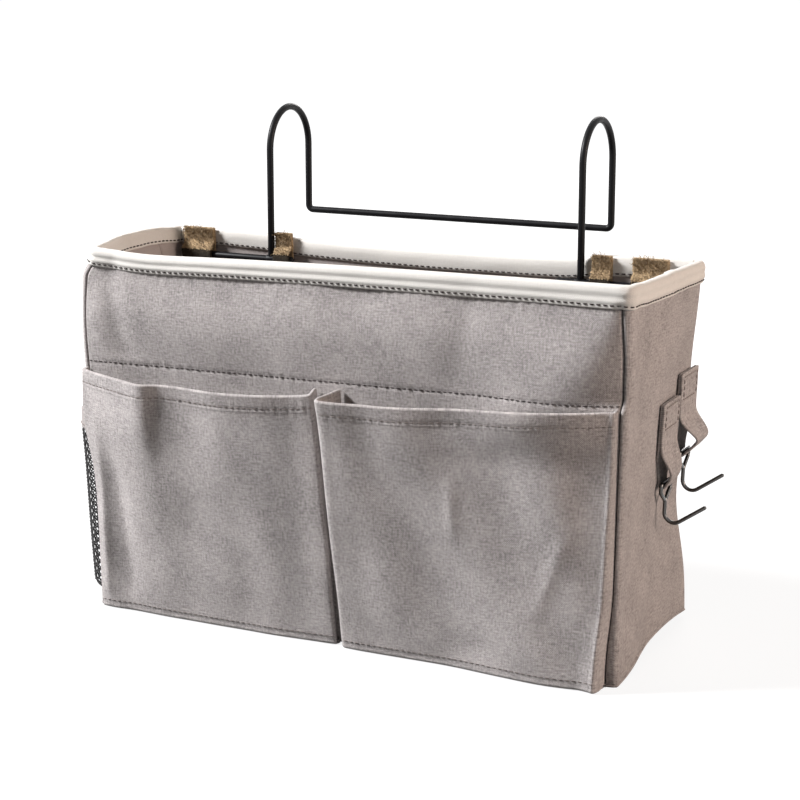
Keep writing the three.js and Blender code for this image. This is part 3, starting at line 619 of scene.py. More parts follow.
def wire_parts(path, radius, sides):
    """A round wire along a path, with domed ends."""
    path = np.array(path, float)
    tangents = unit(np.gradient(path, axis=0))
    normal = np.cross(tangents[0], OFF_ALL_WIRES)
    normals = []
    for tangent in tangents:
        normal = unit(normal - tangent * normal.dot(tangent))
        normals.append(normal)
    normals = np.array(normals)
    binormals = np.cross(tangents, normals)
    dome, last = WIRE_DOME, len(path) - 1
    order = np.concatenate([[0] * len(dome), np.arange(len(path)), [last] * len(dome)])
    shift = np.concatenate([-np.sin(dome), np.zeros(len(path)), np.sin(dome[::-1])]) * radius
    width = np.concatenate([np.cos(dome), np.ones(len(path)), np.cos(dome[::-1])]) * radius
    centres = path[order] + tangents[order] * shift[:, None]
    lengths = arc_length(path)[order] + shift
    return ring_tube(centres, normals[order], binormals[order], width, lengths, radius, sides)


def tubes_mesh(name, paths, radius, sides, material):
    return joined_mesh(name, [wire_parts(path, radius, sides) for path in paths], material)


def bent_path(corners, radii, bend_steps):
    """A path of straight runs with each corner rounded to its radius."""
    corners = [np.array(corner, float) for corner in corners]
    path = [corners[0]]
    for before, corner, after, radius in zip(corners, corners[1:], corners[2:], radii):
        into, out = unit(corner - before), unit(after - corner)
        turn = math.acos(np.clip(into.dot(out), -1, 1))
        start = corner - into * radius * math.tan(turn / 2)
        inward = unit(out - into * out.dot(into))
        for angle in np.linspace(0, turn, bend_steps + 1):
            path.append(start + into * radius * math.sin(angle) + inward * radius * (1 - math.cos(angle)))
    return path + [corners[-1]]


def stitch_row(name, path, normals, material, pitch=3.4, length=2.5, radius=0.42):
    """One mesh of raised stitches along a path on a cloth, each end sunk in the cloth."""
    along = arc_length(path)
    count = max(int(along[-1] / pitch), 1)
    lift, girth = STITCH_LIFT * radius, STITCH_GIRTH * radius
    parts = []
    for centre in (np.arange(count) + 0.5) * along[-1] / count:
        places = centre + STITCH_PLACES * length
        spine = np.stack(read_off(places, along, path), axis=-1)
        normal = unit(np.array(read_off(centre, along, normals)))
        side = np.cross(unit(spine[-1] - spine[0]), normal)
        across, up = np.broadcast_to(side, spine.shape), np.broadcast_to(normal, spine.shape)
        centres = spine + lift[:, None] * normal
        parts.append(ring_tube(centres, across, up, girth, places, radius, STITCH_SIDES, flip=True))
    return joined_mesh(name, parts, material)


def stitch_on(name, surface, us, vs, material, **sizes):
    """A stitch row along places us, vs of a cloth's surface function."""
    us, vs = np.broadcast_arrays(np.asarray(us, float), np.asarray(vs, float))
    path = surface(us, vs)
    step_u, step_v = 1e-3, 1e-2
    run_u = surface(us + step_u, vs) - surface(us - step_u, vs)
    run_v = surface(us, vs + step_v) - surface(us, vs - step_v)
    return stitch_row(name, path, unit(np.cross(run_u, run_v)), material, **sizes)


# Materials


def node(tree, kind, inputs=None, **settings):
    made = tree.nodes.new(kind)
    for key, value in settings.items():
        setattr(made, key, value)
    for key, value in (inputs or {}).items():
        if isinstance(value, bpy.types.NodeSocket):
            tree.links.new(value, made.inputs[key])
        else:
            made.inputs[key].default_value = value
    return made


def math_node(tree, operation, a, b=0.0):
    return node(tree, "ShaderNodeMath", {0: a, 1: b}, operation=operation).outputs[0]


def noise_node(tree, vector, scale, detail=2.0):
    made = node(tree, "ShaderNodeTexNoise", {"Vector": vector, "Scale": scale, "Detail": detail})
    return math_node(tree, "SUBTRACT", made.outputs["Fac"], 0.5)


def scaled(tree, vector, scale):
    return node(tree, "ShaderNodeVectorMath", {0: vector, 1: scale}, operation="MULTIPLY").outputs[0]


def cloth_place(tree):
    """Millimetres along and across a cloth, thread or wire."""
    return node(tree, "ShaderNodeUVMap", uv_map="cloth").outputs[0]


def object_place(tree):
    return node(tree, "ShaderNodeTexCoord").outputs["Object"]


def new_material(name, **sockets):
    made = bpy.data.materials.new(name)
    made.use_nodes = True
    shader = made.node_tree.nodes["Principled BSDF"]
    for socket, value in sockets.items():
        shader.inputs[socket.replace("_", " ")].default_value = value
    return made.node_tree, shader, made


def set_colour(tree, shader, colour, tone, depth=1.0):
    """The colour, made lighter and darker by the tone times its depth."""
    factor = math_node(tree, "ADD", math_node(tree, "MULTIPLY", tone, depth), 1.0)
    tinted = node(tree, "ShaderNodeVectorMath", {0: colour, "Scale": factor}, operation="SCALE")
    tree.links.new(tinted.outputs[0], shader.inputs["Base Color"])


def set_bump(tree, shader, height, strength, distance):
    bump = node(
        tree, "ShaderNodeBump", {"Height": height, "Strength": strength, "Distance": distance / 1000}
    )
    tree.links.new(bump.outputs["Normal"], shader.inputs["Normal"])


def total(tree, *terms):
    """The sum of sockets, each times its weight."""
    whole = 0.0
    for socket, weight in terms:
        whole = math_node(tree, "ADD", math_node(tree, "MULTIPLY", socket, weight), whole)
    return whole


# Noise in a woven cloth: per thread across and along its slubs and in its melange, and per millimetre
SLUB_ACROSS = 1.1
SLUB_ALONG = 0.09
MELANGE = 0.42
CLOUD = 0.045


def woven(name, colour, thread, mottle, strength):
    """Plain-woven cloth: two sets of threads with thick and thin places, and a soft melange."""
    tree, shader, made = new_material(
        name, Roughness=0.95, Specular_IOR_Level=0.2, Sheen_Weight=0.15, Sheen_Roughness=0.6
    )
    uv = cloth_place(tree)
    split = node(tree, "ShaderNodeSeparateXYZ", {0: uv})
    wave = math.pi / thread
    warp = math_node(tree, "SINE", math_node(tree, "MULTIPLY", split.outputs[0], wave))
    weft = math_node(tree, "SINE", math_node(tree, "MULTIPLY", split.outputs[1], wave))
    weave = math_node(tree, "MULTIPLY", warp, weft)
    across, along = SLUB_ACROSS / thread, SLUB_ALONG / thread
    slub_warp = noise_node(tree, scaled(tree, uv, (across, along, 0)), 1.0)
    slub_weft = noise_node(tree, scaled(tree, uv, (along, across, 0)), 1.0)
    melange = noise_node(tree, uv, MELANGE / thread, 3.0)
    cloud = noise_node(tree, uv, CLOUD, 3.0)
    threads = total(tree, (slub_warp, 0.8), (slub_weft, 0.8), (melange, 1.0), (cloud, 0.5), (weave, 0.1))
    set_colour(tree, shader, colour, threads, mottle)
    height = total(tree, (weave, 0.35), (slub_warp, 1.0), (slub_weft, 1.0), (melange, 0.8))
    set_bump(tree, shader, height, strength, 0.25)
    return made


def thread_material(name, colour):
    """Twisted sewing thread."""
    tree, shader, made = new_material(name, Roughness=0.8, Specular_IOR_Level=0.3)
    split = node(tree, "ShaderNodeSeparateXYZ", {0: cloth_place(tree)})
    twist = math_node(tree, "SINE", total(tree, (split.outputs[0], 7.0), (split.outputs[1], 3.0)))
    set_colour(tree, shader, colour, twist, 0.18)
    set_bump(tree, shader, twist, 0.5, 0.12)
    return made


def grained(name, colour, grain, depth, bump, place=cloth_place, detail=2.0, roughness=None, **sockets):
    """A finish with one noise, of a grain along three lengths, in its colour, its surface and its gloss."""
    tree, shader, made = new_material(name, **sockets)
    noise = noise_node(tree, scaled(tree, place(tree), grain), 1.0, detail)
    set_colour(tree, shader, colour, noise, depth)
    set_bump(tree, shader, noise, *bump)
    if roughness:
        level, spread = roughness
        uneven = math_node(tree, "ADD", math_node(tree, "MULTIPLY", noise, spread), level)
        tree.links.new(uneven, shader.inputs["Roughness"])
    return made


def fuzz_material(name, hooks_at):
    """Hook-and-loop tape: matted brown loops, and black hooks over part of its length."""
    tree, shader, made = new_material(
        name, Roughness=1.0, Specular_IOR_Level=0.1, Sheen_Weight=0.2, Sheen_Roughness=0.5
    )
    uv = cloth_place(tree)
    tufts = noise_node(tree, uv, 0.9, 4.0)
    patches = noise_node(tree, uv, 0.2, 2.0)
    tone = total(tree, (tufts, 1.3), (patches, 0.9))
    along = node(tree, "ShaderNodeSeparateXYZ", {0: uv}).outputs[0]
    ragged = total(tree, (along, 1.0), (tufts, 2.2))
    after = math_node(tree, "GREATER_THAN", ragged, hooks_at[0])
    before = math_node(tree, "LESS_THAN", ragged, hooks_at[1])
    hooks = math_node(tree, "MULTIPLY", after, before)
    loops = math_node(tree, "SUBTRACT", 1.0, math_node(tree, "MULTIPLY", hooks, 0.93))
    factor = math_node(tree, "MULTIPLY", math_node(tree, "ADD", tone, 1.0), loops)
    set_colour(tree, shader, LOOP_COLOUR, math_node(tree, "SUBTRACT", factor, 1.0))
    set_bump(tree, shader, tufts, 0.8, 0.6)
    return made


CANVAS_COLOUR = (0.354, 0.324, 0.315)
LINING_COLOUR = (0.36, 0.315, 0.30)
BINDING_COLOUR = (0.66, 0.635, 0.595)
ELASTIC_COLOUR = (0.30, 0.27, 0.26)
DARK_THREAD_COLOUR = (0.045, 0.036, 0.034)
BROWN_THREAD_COLOUR = (0.2, 0.172, 0.16)
GREY_THREAD_COLOUR = (0.30, 0.265, 0.25)
NET_COLOUR = (0.028, 0.027, 0.027)
WIRE_COLOUR = (0.006, 0.006, 0.007)
# Hook plating: bright nickel plate, with its colour set dark as a painted dark reflection of dim surroundings
PLATE_PAINTED_DARK_REFLECTION_COLOUR = (0.09, 0.087, 0.084)
LOOP_COLOUR = (0.33, 0.235, 0.135)
BOARD_COLOUR = (0.27, 0.26, 0.24)

canvas = woven("grey_canvas", CANVAS_COLOUR, thread=0.55, mottle=1.3, strength=0.8)
lining = woven("lining_cloth", LINING_COLOUR, thread=0.4, mottle=0.18, strength=0.4)
tape = woven("cream_tape", BINDING_COLOUR, thread=0.5, mottle=0.12, strength=0.5)
elastic = woven("elastic_webbing", ELASTIC_COLOUR, thread=0.7, mottle=0.3, strength=0.8)
dark_thread = thread_material("dark_thread", DARK_THREAD_COLOUR)
brown_thread = thread_material("brown_thread", BROWN_THREAD_COLOUR)
grey_thread = thread_material("grey_thread", GREY_THREAD_COLOUR)
yarn = grained(
    "net_yarn", NET_COLOUR, grain=(1.5, 5.0, 0), depth=0.7, bump=(0.5, 0.1),
    Roughness=0.75, Specular_IOR_Level=0.3,
)
black_wire = grained(
    "black_coating", WIRE_COLOUR, grain=(220, 220, 220), depth=0.5, bump=(0.12, 0.15),
    place=object_place, detail=3.0, roughness=(0.42, 0.25), Specular_IOR_Level=0.12,
)
plated = grained(
    "bright_plate_painted_dark", PLATE_PAINTED_DARK_REFLECTION_COLOUR, grain=(0.25, 6.0, 0), depth=0.3, bump=(0.15, 0.08),
    detail=3.0, roughness=(0.24, 0.2), Metallic=1.0,
)
board = grained(
    "stiffener_board", BOARD_COLOUR, grain=(0.3, 1.4, 0), depth=0.35, bump=(0.3, 0.2),
    detail=4.0, Roughness=0.8, Specular_IOR_Level=0.3,
)
fuzz = fuzz_material("hook_and_loop", TAB_HOOKS)
loop_yarn = fuzz_material("loop_yarn", NO_HOOKS)


# Pieces of the frame's bodies


def dress(piece, body, slot, *nodes):
    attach(piece, body)
    if nodes:
        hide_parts(*nodes)


def lay_sheet(piece, slot, cut, held, rests_on, *nodes):
    """Makes a piece a sheet of the bag, hung on the bag's body in place of the nodes it replaces; its cut to
    a width and a length is not used.
    """
    dress(piece, "bag", slot, *nodes)


def sew(name, surface, us, vs, thread, slot="canvas", **sizes):
    dress(stitch_on(name, surface, us, vs, thread, **sizes), "bag", slot)


# Body panels


def seam(along):
    """How far from its seam, and how deep, a panel's face lies at a distance along the cloth."""
    run = SEAM_DEPTH - SEAM_TURN
    turn = np.clip((along - run) / SEAM_TURN, 0, math.pi / 2)
    past = np.maximum(along - run - SEAM_TURN * math.pi / 2, 0)
    inset = SEAM_TURN * (1 - np.cos(turn)) + past
    depth = np.maximum(run - along, 0) + SEAM_TURN * (1 - np.sin(turn))
    return inset, depth


def seam_shares(half, step):
    """Places from -1 to 1 across a panel, close together at the turned seams."""
    away = np.concatenate([np.linspace(0, 4.4, 12), np.linspace(6, half, int(half / step))])
    right = 1 - away / half
    return np.concatenate([-right, right[::-1][1:]])


face_wrinkles = wrinkles(SEED, 14, 40, 120)
side_wrinkles = wrinkles(SEED + 1, 12, 35, 110)


def line_height(x):
    """Height of the sewn line above the pockets, which climbs a little to the right."""
    return POCKET_MOUTH + LINE_ABOVE_MOUTH + LINE_CLIMB * x


def front_detail(x, z):
    """Fine shape of the front above the pockets: the sewn line, and puckers beside it and the rim."""
    groove = LINE_GROOVE * bell(z, line_height(x), 0.9)
    puckers = LINE_PUCKER * ripple(x, *LINE_RIPPLE)
    near_line = bell(z, line_height(x), PUCKER_WIDTH) + bell(z, rim_low[2], RIM_PUCKER_WIDTH)
    return puckers * near_line - groove + FRONT_WRINKLE * face_wrinkles(x, z)


def back_detail(x, z):
    return BACK_WRINKLE * face_wrinkles(x + 400, z)


def face_surface(side, detail):
    """The front (side -1) or back (side 1) wall's outside, from seam to seam."""

    def surface(u, z):
        half = half_length(z) - corner_radius(z) - SEAM_GAP
        inset, depth = seam((1 - np.abs(u)) * half)
        x = np.sign(u) * (half - inset)
        middle = smooth(half - np.abs(x), *FACE_SEAM_FADE)
        out = half_depth(z) - depth + detail(x, z) * middle
        return slump(stack(-side * x, side * out, z))

    return surface


def side_surface(side):
    """The right (side 1) or left (side -1) wall's outside, round both corners to its seams."""

    def surface(u, z):
        radius = corner_radius(z)
        straight = half_depth(z) - radius
        half = straight + radius * math.pi / 2 - SEAM_GAP
        inset, depth = seam((1 - np.abs(u)) * half)
        along = half - inset
        angle = np.maximum(along - straight, 0) / radius
        rough = SIDE_WRINKLE * side_wrinkles(np.sign(u) * along + 200 * side, z)
        reach = radius + rough * smooth(half - along, *SIDE_SEAM_FADE) - depth
        x = half_length(z) - radius + reach * np.cos(angle)
        y = np.minimum(along, straight) + reach * np.sin(angle)
        return slump(stack(side * x, side * np.sign(u) * y, z))

    return surface


front_surface = face_surface(-1, front_detail)
back_surface = face_surface(1, back_detail)
right_surface = side_surface(1)
left_surface = side_surface(-1)


def add_panels():
    fine = np.linspace(POCKET_MOUTH - 2, POCKET_MOUTH + 6, 18)
    heights = np.concatenate([
        np.linspace(WALL_BOTTOM, fine[0] - 2, 62), fine, np.linspace(fine[-1] + 2, WALL_TOP, 30)
    ])
    plain_heights = np.linspace(WALL_BOTTOM, WALL_TOP, 90)
    half_face = half_length(HEIGHT / 2) - corner_radius(HEIGHT / 2)
    half_side = half_depth(HEIGHT / 2)
    face_shares = seam_shares(half_face, 2.2)
    side_shares = seam_shares(half_side, 2.0)
    plans = [
        ("front_panel", front_surface, face_shares, heights, half_face),
        ("back_panel", back_surface, face_shares, plain_heights, half_face),
        ("right_panel", right_surface, side_shares, plain_heights, half_side),
        ("left_panel", left_surface, side_shares, plain_heights, half_side),
    ]
    for name, surface, us, vs, half in plans:
        panel = sheet_from(f"{name}_cloth", surface, us, vs, CANVAS, canvas)
        cut = 2 * (half + SEAM_DEPTH), WALL_TOP - WALL_BOTTOM
        lay_sheet(panel, "canvas", cut, "stretched", ["rim_binding_tape"], name)


def flat_layer(bottom, side_inset, face_inset, rows=80, columns=40):
    """Points of a level sheet inside the walls, with round corners."""
    half_x = half_length(0) - side_inset
    half_y = half_depth(0) - face_inset
    radius = max(CORNER_RADIUS_BASE - side_inset, CANVAS)
    v = np.sin(np.linspace(-math.pi / 2, math.pi / 2, columns)) * half_y
    past = np.clip(np.abs(v) - (half_y - radius), 0, radius)
    reach = half_x - radius + np.sqrt(np.maximum(radius**2 - past**2, 0.2))
    u = np.linspace(-1, 1, rows)
    x, y = u[:, None] * reach[None, :], np.broadcast_to(v[None, :], (rows, columns))
    return slump(stack(x, y, bottom))


def add_floor_layers():
    base = sheet_mesh("base_panel_cloth", flat_layer(CANVAS, 0, 0), CANVAS, canvas)
    cut = 2 * half_length(0), 2 * half_depth(0)
    lay_sheet(base, "canvas", cut, "stretched", ["front_panel_cloth", "back_panel_cloth"], "base_panel")
    side_inset = SIDE_LINING_DEPTH + LINING + FLOOR_GAP
    face_inset = FACE_LINING_DEPTH + LINING + FLOOR_GAP
    board_points = flat_layer(BASE_BOARD_TOP, side_inset, face_inset)
    dress(sheet_mesh("base_stiffener", board_points, BOARD, board), "bag", "board", "base_board")
    floor = sheet_mesh("lining_floor", flat_layer(FLOOR_TOP, side_inset, face_inset), LINING, lining)
    cut = 2 * (half_length(0) - side_inset), 2 * (half_depth(0) - face_inset)
    lay_sheet(floor, "lining", cut, "laid", ["base_stiffener"], "lining_base")


def add_wall_boards():
    top = box_mm("front_board")[1][2]
    for name, side in (("front", -1), ("back", 1)):

        def surface(u, z):
            half = half_length(z) - corner_radius(z) - BOARD_INSET
            return slump(stack(-side * u * half, side * (half_depth(z) - BOARD_DEPTH), z))

        us, vs = np.linspace(-1, 1, 80), np.linspace(WALL_BOTTOM + BOARD_ABOVE_FLOOR, top, 50)
        stiffener = sheet_from(f"{name}_stiffener", surface, us, vs, BOARD, board)
        dress(stiffener, "bag", "board", f"{name}_board")


# Rings round the body: the lining and the binding

CORNER_SHARE = 0.12
LINING_JOIN = 3.2


def ring_point(q, half_x, half_y, radius):
    """Place and outward direction round a rounded rectangle: q is 0 to 4, one for each side."""
    side = np.floor(q).astype(int) % 4
    k = q - np.floor(q)
    run = np.clip(k / (1 - CORNER_SHARE), 0, 1)
    angle = np.clip((k - 1 + CORNER_SHARE) / CORNER_SHARE, 0, 1) * math.pi / 2
    length = np.where(side % 2 == 0, half_x, half_y) - radius
    depth = np.where(side % 2 == 0, half_y, half_x) - radius
    along = lerp(-length, length, run) + radius * np.sin(angle)
    out = depth + radius * np.cos(angle)
    turn = side * math.pi / 2
    x = along * np.cos(turn) + out * np.sin(turn)
    y = along * np.sin(turn) - out * np.cos(turn)
    facing = turn + angle
    return x, y, np.sin(facing), -np.cos(facing)


def ring_shares(start, end, straight_steps):
    """Places round a ring, closer together in its corners."""
    places = []
    for side in range(math.floor(start), math.ceil(end)):
        places.append(side + np.linspace(0, 1 - CORNER_SHARE, straight_steps[side % 2], endpoint=False))
        places.append(side + np.linspace(1 - CORNER_SHARE, 1, 12, endpoint=False))
    places = np.concatenate(places)
    inside = places[(places > start + 1e-3) & (places < end - 1e-3)]
    return np.concatenate([[start], inside, [end]])


lining_wrinkles = wrinkles(SEED + 2, 16, 30, 100)


def lining_surface(q, z):
    _, _, facing_x, _ = ring_point(q, 1.0, 1.0, 0.5)
    depth = lerp(FACE_LINING_DEPTH, SIDE_LINING_DEPTH, facing_x**2)
    x, y, out_x, out_y = ring_point(q, half_length(z) - depth, half_depth(z) - depth, corner_radius(z) - 3)
    slack = LINING_WRINKLE * (lining_wrinkles(q * 160, z) - 1)
    return slump(stack(x + out_x * slack, y + out_y * slack, z))


def add_lining():
    us = ring_shares(LINING_JOIN, LINING_JOIN + 4, (110, 44))
    heights = np.linspace(LINING_BOTTOM, LINING_TOP, 70)
    walls = sheet_from("lining_walls", lining_surface, us, heights, LINING, lining)
    cut = 4 * (half_length(HEIGHT / 2) + half_depth(HEIGHT / 2)), LINING_CUT
    nodes = [f"lining_{side}" for side in ("front", "back", "left", "right")]
    lay_sheet(walls, "lining", cut, "hung", ["rim_binding_tape"], *nodes)


# The tape's fold over the rim: rows of place out from the canvas face, and up from the rim
TAPE_SECTION = spline(
    [
        (1.3, -12.0), (1.3, -10.6), (2.1, -8.6), (1.75, -6.2), (2.2, -3.6), (1.0, -0.6), (-1.7, 0.3),
        (-4.5, -0.5), (-5.7, -4.0), (-5.7, -8.0), (-5.4, -10.6), (-5.3, -12.0),
    ],
    61,
)
TAPE_INSIDE = 5.7
TAPE_INSIDE_AT_ENDS = 4.2
TAPE_JOIN = 1.46
TAPE_LAP = 0.07
TAPE_LAP_LIFT = 0.45
TAPE_WIDTH_LEFT = 0.74
TAPE_WIDTH_RIGHT = 0.98
TAPE_WRINKLE = 0.16
TAPE_WAVE = 0.3
TAPE_STITCH_ROWS = {"outer": 0.045, "inner": 0.955}
tape_wrinkles = wrinkles(SEED + 3, 10, 9, 40)


def tape_surface(q, w):
    """The binding tape's outside: q round the rim, w from 0 at its outer edge to 1 at its inner edge."""
    offset, rise = read_off(w, np.linspace(0, 1, len(TAPE_SECTION)), TAPE_SECTION)
    near_x, _, facing_x, _ = ring_point(q, 1.0, 1.0, 0.5)
    fold_width = lerp(TAPE_WIDTH_LEFT, TAPE_WIDTH_RIGHT, smooth(near_x, -1.1, 1.1))
    z = HEIGHT + rise * fold_width
    inside = lerp(TAPE_INSIDE, TAPE_INSIDE_AT_ENDS, facing_x**2)
    offset = np.where(offset < 0, offset * inside / TAPE_INSIDE, offset)
    puff = np.sin(math.pi * np.clip(w, 0, 1)) ** 0.5
    outward = np.where(w < 0.5, 1, -1)
    overlap = TAPE_LAP_LIFT * smooth(q, TAPE_JOIN + 4 - 0.01, TAPE_JOIN + 4 + 0.005)
    offset = offset + TAPE_WRINKLE * tape_wrinkles(q * 180, w * 34) * puff * outward + overlap * outward
    z = z + TAPE_WAVE * tape_wrinkles(q * 90 + 50, 0) * (1 - puff * 0.5)
    x, y, out_x, out_y = ring_point(q, half_length(z), half_depth(z), corner_radius(z))
    return slump(stack(x + out_x * offset, y + out_y * offset, z + overlap * puff))


def add_binding():
    us = ring_shares(TAPE_JOIN, TAPE_JOIN + 4 + TAPE_LAP, (180, 70))
    binding = sheet_from("rim_binding_tape", tape_surface, us, np.linspace(0, 1, 41), TAPE, tape)
    cut = arc_length(TAPE_SECTION)[-1], 4 * (half_length(HEIGHT) + half_depth(HEIGHT))
    lay_sheet(binding, "binding", cut, "folded", ["front_panel_cloth"], "rim_binding")
    for name, w in TAPE_STITCH_ROWS.items():
        sew(f"rim_stitches_{name}", tape_surface, us, w, dark_thread, "binding", pitch=3.6, length=2.4)


# Front pockets

left_wrinkles = wrinkles(SEED + 4, 14, 30, 90)
right_wrinkles = wrinkles(SEED + 5, 14, 30, 90)


def left_face(x, z):
    """Folds of the left pocket's face, besides the fold in its mouth's plan."""
    folds = creases(x, z, LEFT_POCKET_CREASES) + mound(x, z, *LEFT_BILLOW)
    return folds + LEFT_WRINKLE * left_wrinkles(x, z)


def left_pleat(x, z):
    """The fold that starts at the left pocket's mouth and runs out half way down."""
    ridge = LEFT_PLEAT_RIDGE * bell(x, LEFT_PLEAT_AT, LEFT_PLEAT_WIDTH)
    step = smooth(x, *LEFT_PLEAT_STEP_AT) * smooth(LEFT_PLEAT_END - x, 0, LEFT_PLEAT_FADE)
    return (ridge - LEFT_PLEAT_STEP * step) * smooth(z, *LEFT_PLEAT_HEIGHTS)


def no_pleat(x, z):
    return np.zeros_like(x)


def right_face(x, z):
    """Folds of the right pocket's face: slanting waves and two short creases."""
    phase = (x + RIGHT_WAVE_LEAN * z - RIGHT_WAVE_START) * math.pi / RIGHT_WAVE_LENGTH
    between_ends = smooth(x, *RIGHT_WAVE_FROM) * smooth(-x, *RIGHT_WAVE_TO)
    waves = RIGHT_WAVE * np.sin(phase) * between_ends
    return waves + creases(x, z, RIGHT_POCKET_CREASES) + RIGHT_WRINKLE * right_wrinkles(x, z)


def sag(u):
    return np.sin(math.pi * np.clip(u, 0, 1))


def left_mouth(u):
    end_drop = LEFT_MOUTH_END_DROP * smooth(0.35 - u, 0, 0.35)
    return POCKET_MOUTH - LEFT_MOUTH_DROP - end_drop - LEFT_MOUTH_SAG * sag(u)


def right_mouth(u):
    climb = RIGHT_MOUTH_CLIMB * smooth(u, 0.2, 0.8)
    return POCKET_MOUTH - RIGHT_MOUTH_DROP + climb - RIGHT_MOUTH_SAG * sag(u)


def pocket_surface(plan, mouth_height, face, pleat):
    """A pocket's outside: u along its plan, v -2 to -1 under the foot, to 0 round it, 1 at the mouth."""
    curve = keyed_curve(plan)

    def surface(u, v):
        up = np.clip(v, 0, 1)
        mouth_x, mouth_stand, foot_x, foot_stand = np.moveaxis(curve(u), -1, 0)
        x, stand = lerp(foot_x, mouth_x, up), lerp(foot_stand, mouth_stand, up)
        x = x - POCKET_END_BILLOW * bell(up, *END_BILLOW_AT) * smooth(-x, *END_BILLOW_FROM)
        turn = np.minimum(POCKET_FOOT_TURN, 0.6 * foot_stand)
        angle = np.clip(v + 1, 0, 1) * math.pi / 2
        mouth = mouth_height(u)
        z = lerp(POCKET_BOTTOM + turn, mouth, up) - turn * np.cos(angle)

        below = mouth - z
        hem = HEM_LIFT * (1 - smooth(below, HEM_HEIGHT - 0.7, HEM_HEIGHT + 0.9))
        hem_groove = HEM_GROOVE * bell(below, HEM_STITCH, 0.8)
        foot_groove = FOOT_GROOVE * bell(z - POCKET_BOTTOM, FOOT_STITCH, 0.9)
        pucker = HEM_PUCKER * ripple(x, *HEM_RIPPLE) * bell(below, HEM_STITCH, PUCKER_WIDTH)
        folds = face(x, z) * smooth(z, *FOLDS_ABOVE_FLOOR) * smooth(below, *FOLDS_BELOW_MOUTH)
        detail = (folds + hem - hem_groove - foot_groove + pucker) * smooth(stand, *FOLDS_OFF_PANEL)
        under = np.clip(v + 2, 0, 1) * (stand - turn) + turn * np.sin(angle)
        out = np.where(v < 0, under, stand + pleat(x, z) + detail)
        return slump(stack(x, -half_depth(z) - SEAM_GAP - CANVAS - out, z))

    return surface


left_pocket_surface = pocket_surface(LEFT_PLAN, left_mouth, left_face, left_pleat)
right_pocket_surface = pocket_surface(RIGHT_PLAN, right_mouth, right_face, no_pleat)


def joined_steps(*runs):
    """Places along several runs, each given as its start, end and count, without repeats."""
    return np.unique(np.round(np.concatenate([np.linspace(*run) for run in runs]), 6))


def add_pockets():
    left_places = joined_steps((0, 0.1, 18), (0.1, 0.86, 100), (0.86, 1, 18))
    right_places = joined_steps((0, 0.11, 12), (0.11, 0.18, 16), (0.18, 0.9, 96), (0.9, 1, 24))
    height = POCKET_MOUTH - POCKET_BOTTOM
    hem_share = 1 - HEM_HEIGHT / height
    levels = joined_steps((-2, -1, 4), (-1, 0, 7), (0, 0.06, 14), (0.06, 0.9, 72), (0.9, 1, 30))
    thickness = CANVAS + HEM_FOLD * smooth(levels, hem_share - 0.004, hem_share + 0.004)[None, :]
    rows = {"hem": 1 - HEM_STITCH / height, "foot": FOOT_STITCH / height}
    plans = [
        ("left_pocket", left_pocket_surface, left_places, LEFT_PLAN, (0.03, 0.9)),
        ("right_pocket", right_pocket_surface, right_places, RIGHT_PLAN, (0.155, 0.955)),
    ]
    for name, surface, places, plan, sewn in plans:
        pocket = sheet_from(f"{name}_cloth", surface, places, levels, thickness, canvas)
        cut = arc_length(np.array(plan)[:, 1:3])[-1], height + HEM_HEIGHT + FOOT_SEAM
        lay_sheet(pocket, "canvas", cut, "hung", ["front_panel_cloth"], name)
        along = np.linspace(*sewn, 200)
        for row, share in rows.items():
            sew(f"{name}_{row}_stitches", surface, along, share, brown_thread, radius=POCKET_STITCH)


def add_front_line():
    shares = np.linspace(-0.985, 0.985, 300)
    heights = line_height(shares * half_length(POCKET_MOUTH))
    sew("front_line_stitches", front_surface, shares, heights, dark_thread, radius=LINE_STITCH)


# Mesh pocket on the left side

NET_ARC = math.pi / 2 * math.sqrt((NET_END_ROUND**2 + NET_RISE**2) / 2)
NET_STRAIGHT = 2 * (NET_HALF - NET_END_ROUND)
NET_LENGTH = 2 * NET_ARC + NET_STRAIGHT


def net_surface(s, z):
    """Outside of the mesh pocket: s along it from the rear seam to the front seam."""
    s = np.clip(s, 0, NET_LENGTH)
    end = np.where(s < NET_LENGTH / 2, 1, -1)
    along = np.minimum(s, NET_LENGTH - s)
    angle = np.clip(along / NET_ARC, 0, 1) * math.pi / 2
    past = np.maximum(along - NET_ARC, 0)
    y = end * (NET_HALF - NET_END_ROUND + NET_END_ROUND * np.cos(angle) - past)
    slack = 1 - NET_SAG * bell(z, NET_SAG_HEIGHT, NET_SPREAD) * bell(y, 0, NET_SPREAD)
    gather = 1 - NET_GATHER * smooth(z, *NET_GATHER_HEIGHTS)
    belly = 1 + NET_BELLY * bell(z, NET_BELLY_HEIGHT, NET_SPREAD)
    from_foot = np.clip((z - WALL_BOTTOM) / NET_FOOT_ROUND, 0, 1)
    foot = np.maximum(np.sqrt(1 - (1 - from_foot) ** 2), NET_FOOT_LEAST)
    out = NET_RISE * np.sin(angle) * foot * slack * gather * belly
    return slump(stack(-half_length(z) - NET_OFF_PANEL - out, y, z))


def net_strands():
    """Two sets of slanting strands that pass over and under each other."""
    low, high = net_low[2] + 0.5, net_high[2]
    paths = []
    for lean in (-1, 1):
        for start in np.arange(-(high - low), NET_LENGTH, NET_PITCH):
            first = start if lean > 0 else start + (high - low)
            z = np.arange(low, high + 0.01, NET_PITCH / 4)
            s = first + lean * (z - low)
            keep = (s >= 0) & (s <= NET_LENGTH)
            if keep.sum() < 4:
                continue
            s, z = s[keep], z[keep]
            points = net_surface(s, z)
            points[:, 0] -= lean * NET_OVER * np.cos(2 * math.pi * (z - low) / NET_PITCH)
            paths.append(points)
    return paths


